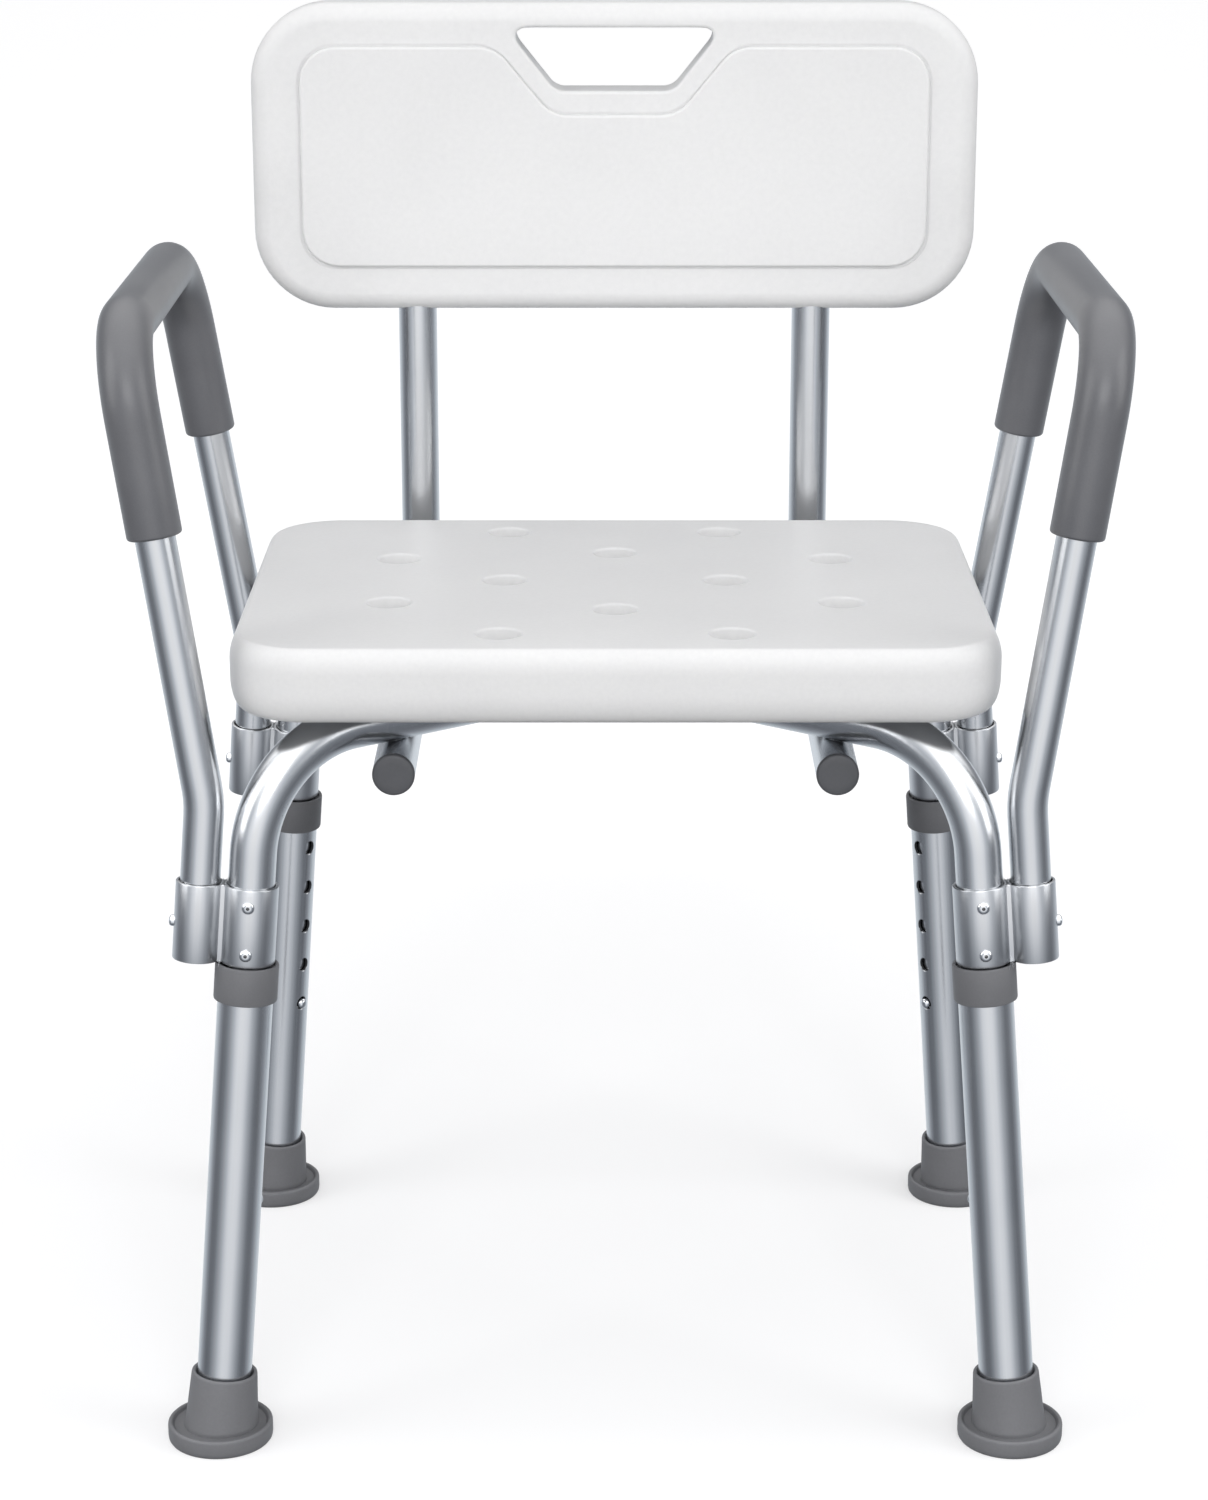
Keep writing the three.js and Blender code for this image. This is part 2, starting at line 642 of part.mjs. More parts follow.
// ---- Seat and its bolts -------------------------------------------------------------

const SEAT_BOLTS = CORNERS.map(({ name, sideX, sideY }) => ({
  name: `seat_bolt_${name}`,
  x: sideX * BACK_X,
  y: sideY * CROSSING_Y,
  headTop: BACK_RUN_Z - BACK_RADIUS - CLEARANCE,
}));
const CENTRE_BOLT = {
  name: "centre_bolt", x: 0, y: 0, headTop: FRAME_RUN_Z - FRAME_RADIUS - CLEARANCE,
};

// A hollow moulding. A column runs from top to bottom round each drain hole and each bolt.
function seat() {
  const height = SEAT_TOP - SEAT_BOTTOM;
  const up = new THREE.Vector3(0, 0, 1);
  const post = ([x, y], radius, sides) => rod(new THREE.Vector3(x, y, -1), up, height + 2, radius, sides);
  const outside = roundedSlab(SEAT_WIDTH, SEAT_DEPTH, height, SEAT_CORNER_RADIUS, SEAT_EDGE_RADIUS);
  const inset = 2 * SHELL_WALL;
  const hollow = roundedSlab(
    SEAT_WIDTH - inset, SEAT_DEPTH - inset, height - inset, SEAT_CORNER_RADIUS - SHELL_WALL,
    SEAT_EDGE_RADIUS - SHELL_WALL);
  hollow.translate(0, 0, SHELL_WALL);
  const bolts = [...SEAT_BOLTS, CENTRE_BOLT].map(({ x, y }) => [x, y]);
  const columns = [
    ...DRAIN_HOLES.map((place) => post(place, DRAIN_RADIUS + SHELL_WALL, 10)),
    ...bolts.map((place) => post(place, BOLT_HOLE_RADIUS + SHELL_WALL, 8)),
  ];
  const boltDepth = BOLT_TOP_Z + 1 - SEAT_BOTTOM;
  const blowHole = rod(new THREE.Vector3(0, 118, -1), up, 8, 4, 8);
  return cut(outside, [
    cut(hollow, columns),
    ...DRAIN_HOLES.map((place) => post(place, DRAIN_RADIUS, 10)),
    ...bolts.map(([x, y]) => rod(new THREE.Vector3(x, y, -1), up, boltDepth + 1, BOLT_HOLE_RADIUS)),
    blowHole,
  ]);
}

function bolt(headTop) {
  return turned([
    [0, -BOLT_HEAD_HEIGHT], [5.6, -BOLT_HEAD_HEIGHT], [5.6, 0], [BOLT_RADIUS, 0],
    [BOLT_RADIUS, BOLT_TOP_Z - headTop], [0, BOLT_TOP_Z - headTop],
  ], 10);
}

function addSeat(chair) {
  const cushion = part("seat", seat(), "white_plastic");
  cushion.position.z = SEAT_BOTTOM;
  chair.add(cushion);
  for (const { name, x, y, headTop } of [...SEAT_BOLTS, CENTRE_BOLT]) {
    const mesh = part(name, bolt(headTop), "steel");
    mesh.position.set(x, y, headTop);
    chair.add(mesh);
  }
}

// ---- Backrest and its screws --------------------------------------------------------

const SCREW_RADIUS = 2.3;
const SCREW_HOLE_RADIUS = 2.8;
const SCREW_HEAD_RADIUS = 5;

// A handle slot, wider at its top, grown all round by a margin.
function slotOutline(margin) {
  const top = 74 + margin;
  const bottom = 38.5 - margin;
  const outline = new THREE.Shape();
  outline.moveTo(-32.5 + 8, bottom);
  outline.lineTo(32.5 - 8, bottom);
  outline.quadraticCurveTo(34 + margin, bottom, 40 + margin, bottom + 8);
  outline.lineTo(55 + margin, top - 8);
  outline.quadraticCurveTo(59 + margin, top, 48, top);
  outline.lineTo(-48, top);
  outline.quadraticCurveTo(-59 - margin, top, -55 - margin, top - 8);
  outline.lineTo(-40 - margin, bottom + 8);
  outline.quadraticCurveTo(-34 - margin, bottom, -32.5 + 8, bottom);
  return outline;
}

// The raised middle of the front face, which dips below the handle slot.
function panelOutline() {
  const width = 180;
  const low = -62;
  const high = 63.5;
  const corner = 22;
  const outline = new THREE.Shape();
  outline.absarc(width - corner, low + corner, corner, -Math.PI / 2, 0);
  outline.absarc(width - corner, high - corner, corner, 0, Math.PI / 2);
  outline.lineTo(76, high);
  outline.lineTo(34, 25);
  outline.lineTo(-34, 25);
  outline.lineTo(-76, high);
  outline.absarc(corner - width, high - corner, corner, Math.PI / 2, Math.PI);
  outline.absarc(corner - width, low + corner, corner, Math.PI, 1.5 * Math.PI);
  return outline;
}

// A hollow moulding, made lying on its back and stood up: Y is its height until it is turned.
function backrest() {
  const height = BACKREST_TOP - BACKREST_BOTTOM;
  const middle = (BACKREST_TOP + BACKREST_BOTTOM) / 2;
  const half = BACKREST_THICKNESS / 2;
  const inset = 2 * SHELL_WALL;
  const outside = roundedSlab(
    BACKREST_WIDTH, height, BACKREST_THICKNESS, BACKREST_CORNER_RADIUS, BACKREST_EDGE_RADIUS);
  const panel = new THREE.ExtrudeGeometry(panelOutline(), {
    depth: PANEL_RISE + 1, bevelEnabled: false, curveSegments: 2,
  }).translate(0, 0, BACKREST_THICKNESS - 1);
  const hollow = roundedSlab(
    BACKREST_WIDTH - inset, height - inset, BACKREST_THICKNESS - inset,
    BACKREST_CORNER_RADIUS - SHELL_WALL, BACKREST_EDGE_RADIUS - SHELL_WALL);
  hollow.translate(0, 0, SHELL_WALL);
  const slot = (margin) => new THREE.ExtrudeGeometry(slotOutline(margin), {
    depth: 2 * BACKREST_THICKNESS, bevelEnabled: false, curveSegments: 2,
  }).translate(0, 0, -half);

  const socketRadius = (BACK_RADIUS + CLEARANCE) / Math.cos(Math.PI / TUBE_SIDES);
  const socketDepth = BACK_TOP_Z + 1 - BACKREST_BOTTOM;
  const socket = (side, radius, depth) => rod(
    new THREE.Vector3(side * BACK_X, -height / 2 - 1, half), new THREE.Vector3(0, 1, 0), depth + 1,
    radius, TUBE_SIDES);
  const screwHoles = [-1, 1].flatMap((side) => SCREW_HEIGHTS.flatMap((z) => {
    const start = new THREE.Vector3(side * BACK_X, z - middle, -1);
    const inward = new THREE.Vector3(0, 0, 1);
    return [
      rod(start, inward, 15, SCREW_HOLE_RADIUS, 8),
      rod(start, inward, 4, SCREW_HEAD_RADIUS + 0.8, 12),
    ];
  }));
  const blowHole = rod(new THREE.Vector3(0, -height / 2 - 1, half), new THREE.Vector3(0, 1, 0), 10, 4, 8);
  const hollowTools = [
    slot(SHELL_WALL), socket(-1, socketRadius + 2, socketDepth + 2), socket(1, socketRadius + 2, socketDepth + 2),
  ];
  const shell = toSolid(outside).add(toSolid(panel));
  const geometry = cut(toGeometry(shell), [
    cut(hollow, hollowTools), slot(0), socket(-1, socketRadius, socketDepth),
    socket(1, socketRadius, socketDepth), ...screwHoles, blowHole,
  ]);
  return geometry.rotateX(Math.PI / 2).translate(0, BACK_UPRIGHT_Y + half, middle);
}

// A pan-headed screw in its counterbore, pointing forward into the tube.
function backrestScrew() {
  const length = 13;
  return turned([
    [0, -length], [SCREW_RADIUS, -length], [SCREW_RADIUS, 0], [SCREW_HEAD_RADIUS, 0],
    [SCREW_HEAD_RADIUS - 0.6, 1.8], [0, 2.3],
  ], 10).rotateX(-Math.PI / 2);
}

function addBackrest(chair) {
  chair.add(part("backrest", backrest(), "white_plastic"));
  for (const [name, side] of [["left", 1], ["right", -1]]) {
    SCREW_HEIGHTS.forEach((z, index) => {
      const place = index === 0 ? "lower" : "upper";
      const mesh = part(`backrest_screw_${place}_${name}`, backrestScrew(), "steel");
      const face = BACK_UPRIGHT_Y + BACKREST_THICKNESS / 2 - 3 + CLEARANCE;
      mesh.position.set(side * BACK_X, face, z);
      chair.add(mesh);
    });
  }
}

// ---- The chair ----------------------------------------------------------------------

const chair = new THREE.Group();
chair.position.y = CENTRE_SHIFT_Y;
addLegs(chair);
addFrameTubes(chair);
addBrackets(chair);
addArms(chair);
addBackTubes(chair);
addSeat(chair);
addBackrest(chair);

export default chair;
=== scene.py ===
import json
import math

import bmesh
import bpy
from mathutils import Matrix, Vector


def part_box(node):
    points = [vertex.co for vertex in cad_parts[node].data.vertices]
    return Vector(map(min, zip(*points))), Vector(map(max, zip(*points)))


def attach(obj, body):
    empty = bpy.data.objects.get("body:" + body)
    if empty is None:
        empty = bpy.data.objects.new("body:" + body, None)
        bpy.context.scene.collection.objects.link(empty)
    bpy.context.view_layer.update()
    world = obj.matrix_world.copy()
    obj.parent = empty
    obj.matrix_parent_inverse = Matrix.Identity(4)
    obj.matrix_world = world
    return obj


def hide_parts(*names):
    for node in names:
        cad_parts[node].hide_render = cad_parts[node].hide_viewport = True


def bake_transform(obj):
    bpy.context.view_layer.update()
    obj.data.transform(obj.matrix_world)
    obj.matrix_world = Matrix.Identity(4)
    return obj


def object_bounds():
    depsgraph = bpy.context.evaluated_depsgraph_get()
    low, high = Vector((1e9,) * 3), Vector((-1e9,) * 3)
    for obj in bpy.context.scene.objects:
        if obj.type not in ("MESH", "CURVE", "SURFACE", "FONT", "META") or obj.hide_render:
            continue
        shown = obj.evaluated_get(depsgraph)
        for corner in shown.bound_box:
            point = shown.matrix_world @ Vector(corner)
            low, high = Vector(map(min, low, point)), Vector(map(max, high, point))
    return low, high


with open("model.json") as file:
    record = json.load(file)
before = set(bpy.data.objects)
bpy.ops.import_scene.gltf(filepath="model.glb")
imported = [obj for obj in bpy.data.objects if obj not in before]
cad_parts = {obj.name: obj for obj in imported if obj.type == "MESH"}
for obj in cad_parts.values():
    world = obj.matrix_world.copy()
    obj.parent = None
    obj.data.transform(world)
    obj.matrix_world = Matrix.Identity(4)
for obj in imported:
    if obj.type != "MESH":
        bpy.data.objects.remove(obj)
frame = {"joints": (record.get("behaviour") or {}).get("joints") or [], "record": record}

CAD_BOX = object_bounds()

# ---- Studio ---------------------------------------------------------------------------
# A white floor that runs up into a white wall, lit by a wide soft box over the front, a low
# one under it, one overhead and one at each side. Metal mirrors a banded studio of its own.

MM = 0.001


def clear():
    """Leaves object mode with nothing selected."""
    if bpy.context.object and bpy.context.object.mode != "OBJECT":
        bpy.ops.object.mode_set(mode="OBJECT")
    bpy.ops.object.select_all(action="DESELECT")


def settle(name):
    """Names the object just made and moves its place into its mesh."""
    piece = bpy.context.object
    bpy.ops.object.mode_set(mode="OBJECT")
    bpy.ops.object.transform_apply(location=True, rotation=True, scale=True)
    piece.name = name
    piece.data.name = name
    return piece


class Wire:
    """A socket that takes part in sums: each sum adds its Math node."""

    def __init__(self, tree, socket):
        self.tree = tree
        self.socket = socket

    def sum(self, operation, first, second):
        node = self.tree.nodes.new("ShaderNodeMath")
        node.operation = operation
        join(self.tree, first, node.inputs[0])
        join(self.tree, second, node.inputs[1])
        return Wire(self.tree, node.outputs[0])

    def __add__(self, other):
        return self.sum("ADD", self, other)

    __radd__ = __add__

    def __mul__(self, other):
        return self.sum("MULTIPLY", self, other)


def join(tree, value, slot):
    """Links a wire to a socket, or writes a plain value on it."""
    if isinstance(value, Wire):
        tree.links.new(value.socket, slot)
    else:
        slot.default_value = value


class Finish:
    """A node tree under construction, with the socket values that hold all over it."""

    def __init__(self, owner, **values):
        owner.use_nodes = True
        self.owner = owner
        self.tree = owner.node_tree
        self.shader = self.tree.nodes.get("Principled BSDF") or self.tree.nodes.get("Background")
        for name, value in values.items():
            self.shader.inputs[name.replace("_", " ")].default_value = value

    def add(self, kind, settings=None, output=0, **inputs):
        """Adds a node: its settings first, then its sockets' values or links."""
        node = self.tree.nodes.new("ShaderNode" + kind)
        for name, value in (settings or {}).items():
            if name == "stops":
                ramp = node.color_ramp.elements
                while len(ramp) < len(value):
                    ramp.new(0.5)
                for element, (position, colour) in zip(ramp, value):
                    element.position = position
                    element.color = (*colour, 1) if hasattr(colour, "__len__") else (colour,) * 3 + (1,)
            else:
                setattr(node, name, value)
        for name, value in inputs.items():
            slot = node.inputs[int(name)] if name.isdigit() else node.inputs[name.replace("_", " ")]
            join(self.tree, value, slot)
        return Wire(self.tree, node.outputs[output])

    def blend(self, factor, first, second):
        """A colour between two others."""
        node = self.tree.nodes.new("ShaderNodeMix")
        node.data_type = "RGBA"
        for index, value in ((0, factor), (6, first), (7, second)):
            join(self.tree, (*value, 1) if hasattr(value, "__len__") else value, node.inputs[index])
        return Wire(self.tree, node.outputs[2])

    def feed(self, **wires):
        """Joins wires to the shader's own sockets."""
        for name, wire in wires.items():
            self.tree.links.new(wire.socket, self.shader.inputs[name.replace("_", " ")])


def stage_floor():
    size = 9.0
    sweep = 1.5
    wall = 5.0
    clear()
    bpy.ops.mesh.primitive_plane_add(size=size, location=(0, 0, 0))
    bpy.ops.object.mode_set(mode="EDIT")
    bpy.ops.mesh.select_mode(type="EDGE")
    mesh = bmesh.from_edit_mesh(bpy.context.object.data)
    for edge in mesh.edges:
        edge.select_set(all(corner.co.y > size * 0.4 for corner in edge.verts))
    bmesh.update_edit_mesh(bpy.context.object.data)
    bpy.ops.mesh.spin(
        steps=24, angle=math.radians(90), center=(0, size / 2, sweep), axis=(-1, 0, 0))
    bpy.ops.mesh.extrude_region_move(TRANSFORM_OT_translate={"value": (0, 0, wall)})
    floor = settle("studio_floor")
    bpy.ops.object.shade_smooth()
    paint = Finish(
        bpy.data.materials.new("studio paint"), Base_Color=(0.5, 0.5, 0.508, 1), Roughness=0.8,
        Specular_IOR_Level=0.1, Emission_Color=(1, 1, 1, 1), Emission_Strength=0.66)
    place = paint.add("TexCoord", output=3)
    distance = paint.add("VectorMath", {"operation": "LENGTH"}, output=1, **{"0": place})
    lamp = paint.add(
        "ValToRGB", {"stops": [(0.1, 0.67), (0.22, 0.75), (0.55, 1.0)]}, Fac=distance * 0.4)
    paint.feed(Emission_Color=lamp)
    floor.data.materials.append(paint.owner)
    floor.visible_glossy = False
    floor.visible_diffuse = False


def soft_box(name, place, aim, width, height, power):
    light = bpy.data.lights.new(name, "AREA")
    light.shape = "RECTANGLE"
    light.size = width
    light.size_y = height
    light.energy = power
    lamp = bpy.data.objects.new(name, light)
    bpy.context.scene.collection.objects.link(lamp)
    lamp.location = place
    lamp.rotation_euler = (Vector(aim) - Vector(place)).to_track_quat("-Z", "Y").to_euler()
    return lamp


def studio_air():
    """White to the eye. What metal mirrors is white in front and overhead, pale behind and
    dark to either side."""
    air = Finish(bpy.data.worlds.new("studio air"))
    bpy.context.scene.world = air.owner
    direction = air.add("TexCoord", output=0)
    forward = air.add("SeparateXYZ", output=1, Vector=direction)
    upward = air.add("SeparateXYZ", output=2, Vector=direction)
    around = air.add("ValToRGB", {"stops": [
        (0.0, (1.0, 1.0, 1.0)), (0.035, (0.94, 0.96, 1.0)), (0.125, (0.49, 0.52, 0.56)),
        (0.3, (0.19, 0.205, 0.23)), (0.475, (0.15, 0.16, 0.18)), (0.625, (0.3, 0.32, 0.355)),
        (0.8, (0.6, 0.65, 0.7)), (0.925, (0.76, 0.81, 0.86)), (1.0, (0.78, 0.83, 0.88)),
    ]}, Fac=forward * 0.5 + 0.5)
    above = air.add("ValToRGB", {"stops": [(0.47, 0.0), (0.57, 1.0)]}, Fac=upward * 0.5 + 0.5)
    behind = air.add("ValToRGB", {"stops": [(0.55, 0.0), (0.75, 1.0)]}, Fac=forward * 0.5 + 0.5)
    around = air.blend(above * behind, around, (0.24, 0.25, 0.27))
    ceiling = air.add("ValToRGB", {"stops": [(0.36, 0.0), (0.8, 1.0)]}, Fac=upward)
    mirrored = air.blend(ceiling, around, (1.5, 1.5, 1.5))
    filled = air.add("ValToRGB", {"stops": [
        (0.0, 0.03), (0.34, 0.08), (0.46, 0.36), (0.58, 0.5), (1.0, 0.72)]}, Fac=upward * 0.5 + 0.5)
    camera_sees = air.add("LightPath", output=0)
    metal_sees = air.add("LightPath", output=3)
    lit = air.blend(metal_sees, filled, mirrored)
    air.feed(Color=air.blend(camera_sees, lit, (1.0, 1.0, 1.0)))
    air.feed(Strength=1 + metal_sees * (upward * 0.25 + 0.16))


def camera_at_the_chair():
    lens = bpy.data.cameras.new("camera")
    lens.lens = 85.0
    lens.sensor_width = 36.0
    viewer = bpy.data.objects.new("camera", lens)
    bpy.context.scene.collection.objects.link(viewer)
    middle_y = (CAD_BOX[0][1] + CAD_BOX[1][1]) / 2
    viewer.location = (-0.006, middle_y - 1.879, 0.8995)
    viewer.rotation_euler = (math.radians(73.2), 0, 0)
    bpy.context.scene.camera = viewer


stage_floor()
studio_air()
camera_at_the_chair()
soft_box("front box", (0.0, -4.2, 2.6), (0, 0, 0.5), 2.8, 1.6, 53)
low_box = soft_box("low front box", (0.0, -3.2, 0.16), (0, 0, 0.4), 2.2, 0.4, 31)
low_box.visible_glossy = False
soft_box("top box", (0.0, 0.1, 2.9), (0, 0, 0.4), 2.2, 2.2, 3)
soft_box("left box", (-2.3, -0.8, 1.4), (0, 0, 0.45), 1.5, 1.8, 20)
soft_box("right box", (2.3, -0.8, 1.4), (0, 0, 0.45), 1.5, 1.8, 20)
bpy.context.scene.view_settings.view_transform = "Standard"

# ---- Leg tubes ------------------------------------------------------------------------
# The outer half of each telescopic leg: drawn aluminium tube, satin anodised, with five
# holes drilled in its inner side, their mouths deburred. It slides on the frame tube.

CORNERS = ("front_left", "front_right", "rear_left", "rear_right")
SLIDES = {joint["name"]: joint for joint in frame["joints"]}
MOUNTS = {mount["name"]: mount for mount in frame["record"]["mounts"]}
CHAIR_Y = sum(MOUNTS[f"floor_{corner}"]["pos_m"][1] for corner in CORNERS) / 4
LEG_RADIUS = 14.4 * MM
LEG_WALL = 1.6 * MM
LEG_BOTTOM = 9.0 * MM
LEG_TOP = 256.0 * MM
FIRST_HOLE = 132.6 * MM
HOLE_PITCH = 25.4 * MM
HOLE_RADIUS = 4.0 * MM
HOLE_COUNT = 5


def foot_place(corner):
    """Where a leg's axis meets the floor."""
    return Vector(MOUNTS[f"floor_{corner}"]["pos_m"])


def leg_axis(corner):
    """Up along a leg, against the way it slides."""
    return -Vector(SLIDES[f"leg_height_{corner}"]["axis"]).normalized()


def leg_matrix(corner):
    """Turns a piece drawn up Z, its outer side on +X, to stand on a leg's line."""
    up = leg_axis(corner)
    outward = Vector(SLIDES[f"leg_button_press_{corner}"]["axis"]).normalized()
    across = up.cross(outward)
    return Matrix.Translation(foot_place(corner)) @ Matrix((outward, across, up)).transposed().to_4x4()


def place_copy(piece, name, matrix):
    """A copy with its own mesh, put in place there."""
    copy = piece.copy()
    copy.data = piece.data.copy()
    copy.name = name
    copy.data.name = name
    bpy.context.scene.collection.objects.link(copy)
    copy.data.transform(matrix)
    return copy


def discard(piece):
    bpy.data.objects.remove(piece)


def activate(piece):
    """Selects one piece alone and makes it the active one."""
    clear()
    piece.select_set(True)
    bpy.context.view_layer.objects.active = piece


def refine(piece, kind, **settings):
    """Puts a modifier on a piece and applies it."""
    modifier = piece.modifiers.new(kind.lower(), kind)
    for name, value in settings.items():
        setattr(modifier, name, value)
    activate(piece)
    bpy.ops.object.modifier_apply(modifier=modifier.name)


def carve(piece, tool, operation="DIFFERENCE"):
    """Cuts one piece with another, or joins them, and discards the other."""
    refine(piece, "BOOLEAN", object=tool, operation=operation, solver="EXACT")
    discard(tool)


def smooth(piece, degrees):
    activate(piece)
    bpy.ops.object.shade_smooth_by_angle(angle=math.radians(degrees))


def edit(piece, kind="EDGE"):
    """Opens a piece in edit mode with nothing picked."""
    activate(piece)
    bpy.ops.object.mode_set(mode="EDIT")
    bpy.ops.mesh.select_mode(type=kind)
    bpy.ops.mesh.select_all(action="DESELECT")


def pick_edges(piece, test):
    """Picks the edges whose two ends pass a test."""
    mesh = bmesh.from_edit_mesh(piece.data)
    for edge in mesh.edges:
        if test(edge.verts[0].co, edge.verts[1].co):
            edge.select_set(True)
    bmesh.update_edit_mesh(piece.data)


def round_edges(piece, test, offset, segments):
    """Bevels the edges whose two ends pass a test."""
    edit(piece)
    pick_edges(piece, test)
    bpy.ops.mesh.bevel(offset=offset, segments=segments, affect="EDGES")
    clear()


def rings_mm(*rings, base=0.0):
    """Rings written in millimetres of radius and of height over a base, for a profile."""
    return [(radius * MM, base + height * MM) for radius, height in rings]


def turned(name, profile, sides=48):
    """A lathe-turned piece: rings of (radius, height), each drawn out of the last. A ring of
    no radius closes an end; a profile that comes back to its first ring closes on itself."""
    clear()
    first_radius, first_height = profile[0]
    start = 1 if first_radius == 0 else 0
    radius, height = profile[start]
    bpy.ops.mesh.primitive_circle_add(
        vertices=sides, radius=radius, location=(0, 0, height), fill_type="NOTHING")
    bpy.ops.object.mode_set(mode="EDIT")
    bpy.ops.mesh.select_all(action="SELECT")
    if start == 1:
        bpy.ops.mesh.extrude_region_move()
        bpy.ops.transform.translate(value=(0, 0, first_height - height))
        bpy.ops.mesh.merge(type="CENTER")
        bpy.ops.mesh.select_all(action="DESELECT")
        mesh = bmesh.from_edit_mesh(bpy.context.object.data)
        for vertex in mesh.verts:
            vertex.select_set(math.hypot(vertex.co.x, vertex.co.y) > radius * 0.9)
        mesh.select_flush(True)
        bmesh.update_edit_mesh(bpy.context.object.data)
    for next_radius, next_height in profile[start + 1:]:
        bpy.ops.mesh.extrude_region_move(TRANSFORM_OT_translate={"value": (0, 0, next_height - height)})
        if next_radius == 0:
            bpy.ops.mesh.merge(type="CENTER")
        else:
            scale = next_radius / radius
            bpy.ops.transform.resize(value=(scale, scale, 1), center_override=(0, 0, next_height))
        radius, height = next_radius, next_height
    bpy.ops.mesh.select_all(action="SELECT")
    bpy.ops.mesh.remove_doubles(threshold=0.00001)
    bpy.ops.mesh.normals_make_consistent(inside=False)
    return settle(name)


def satin_aluminium(name, shade=1.0, roughness=0.24):
    """Drawn tube, satin anodised: faint lines along the draw, a soft cloudy sheen and the
    odd rubbed patch. The lines follow the tube through its bends on its "grain" values."""
    metal = Finish(
        bpy.data.materials.new(name), Metallic=1.0, Roughness=roughness,
        Base_Color=(0.62 * shade, 0.64 * shade, 0.665 * shade, 1))
    grain = metal.add("Attribute", {"attribute_name": "grain"}, output=1)
    drawn = metal.add("Mapping", Vector=grain, Scale=(900, 900, 6))
    lines = metal.add("TexNoise", Vector=drawn, Scale=1.0, Detail=2.0, Roughness=0.6)
    cloud_place = metal.add("TexCoord", output=3)
    cloud = metal.add("TexNoise", Vector=cloud_place, Scale=26.0, Detail=3.0)
    speck = metal.add("TexNoise", Vector=cloud_place, Scale=2600.0, Detail=1.0)
    tone = metal.add("ValToRGB", {"stops": [
        (0.3, (0.6 * shade, 0.612 * shade, 0.63 * shade)),
        (0.7, (0.66 * shade, 0.67 * shade, 0.685 * shade)),
    ]}, Fac=lines * 0.45 + cloud * 0.45 + speck * 0.1)
    height = lines * 0.7 + speck * 0.3
    bump = metal.add("Bump", Height=height, Strength=0.05, Distance=0.0002)
    metal.feed(
        Base_Color=tone, Normal=bump,
        Roughness=roughness - 0.06 + lines * 0.07 + cloud * 0.06)
    return metal.owner


TUBE_METAL = satin_aluminium("satin aluminium tube")


def keep_grain(piece, rings=None):
    """Writes where each point lies on a tube: across it, and how far along it."""
    values = piece.data.attributes.new("grain", "FLOAT_VECTOR", "POINT")
    for vertex in piece.data.vertices:
        place = vertex.co
        if rings is None:
            values.data[vertex.index].vector = place
            continue
        centre, along, side, travelled = min(
            rings, key=lambda ring: abs((place - ring[0]).dot(ring[1])) + (place - ring[0]).length)
        spoke = place - centre
        values.data[vertex.index].vector = (spoke.dot(side), spoke.dot(along.cross(side)), travelled)


def leg_tube():
    clear()
    bpy.ops.mesh.primitive_cylinder_add(
        vertices=56, radius=LEG_RADIUS, depth=LEG_TOP - LEG_BOTTOM, end_fill_type="NOTHING",
        location=(0, 0, (LEG_TOP + LEG_BOTTOM) / 2))
    bpy.ops.object.mode_set(mode="EDIT")
    piece = settle("leg_tube_drawn")
    refine(piece, "SOLIDIFY", thickness=LEG_WALL, offset=-1, use_even_offset=True)
    for index in range(HOLE_COUNT):
        height = FIRST_HOLE + index * HOLE_PITCH
        drill = turned("drill", [
            (0, 0), (HOLE_RADIUS, 0), (HOLE_RADIUS, LEG_RADIUS - 0.5 * MM),
            (HOLE_RADIUS + 1.6 * MM, LEG_RADIUS + 1.1 * MM), (0, LEG_RADIUS + 1.1 * MM)], 28)
        drill.data.transform(Matrix.Translation((0, 0, height)) @ Matrix.Rotation(-math.pi / 2, 4, "Y"))
        carve(piece, drill)
    smooth(piece, 30)
    keep_grain(piece)
    return piece


def painted_shade_bore():
    """Painted shade on the inside of a drawn tube and the walls of its holes: near black, uneven and
    rough.
    """
    bore = Finish(bpy.data.materials.new("tube bore painted as shade"), Metallic=0.6, Roughness=0.7)
    place = bore.add("TexCoord", output=3)
    painted_shade_noise = bore.add("TexNoise", Vector=place, Scale=160.0, Detail=3.0)
    bore.feed(
        Base_Color=bore.add("ValToRGB", {"stops": [
            (0.3, (0.05, 0.052, 0.056)), (0.7, (0.09, 0.093, 0.1))]}, Fac=painted_shade_noise),
        Roughness=painted_shade_noise * 0.2 + 0.6)
    return bore.owner


tube = leg_tube()
tube.data.materials.append(TUBE_METAL)
tube.data.materials.append(painted_shade_bore())
# The bore and the walls of the five holes take the painted shade, so the holes look dark.
for face in tube.data.polygons:
    if face.center.xy.length < LEG_RADIUS - 0.6 * MM and abs(face.normal.z) < 0.99:
        face.material_index = 1
for corner in CORNERS:
    leg = place_copy(tube, f"leg_{corner}", leg_matrix(corner))
    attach(leg, f"leg_{corner}")
    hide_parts(f"leg_tube_{corner}")
discard(tube)

# ---- Leg collars ----------------------------------------------------------------------
# A grey moulded bush over the mouth of each leg tube. Its skirt stands a little off the
# leg, and its lip closes on the frame tube that the leg slides on.

COLLAR_BOTTOM = LEG_TOP - 10.5 * MM
COLLAR_TOP = 265.3 * MM


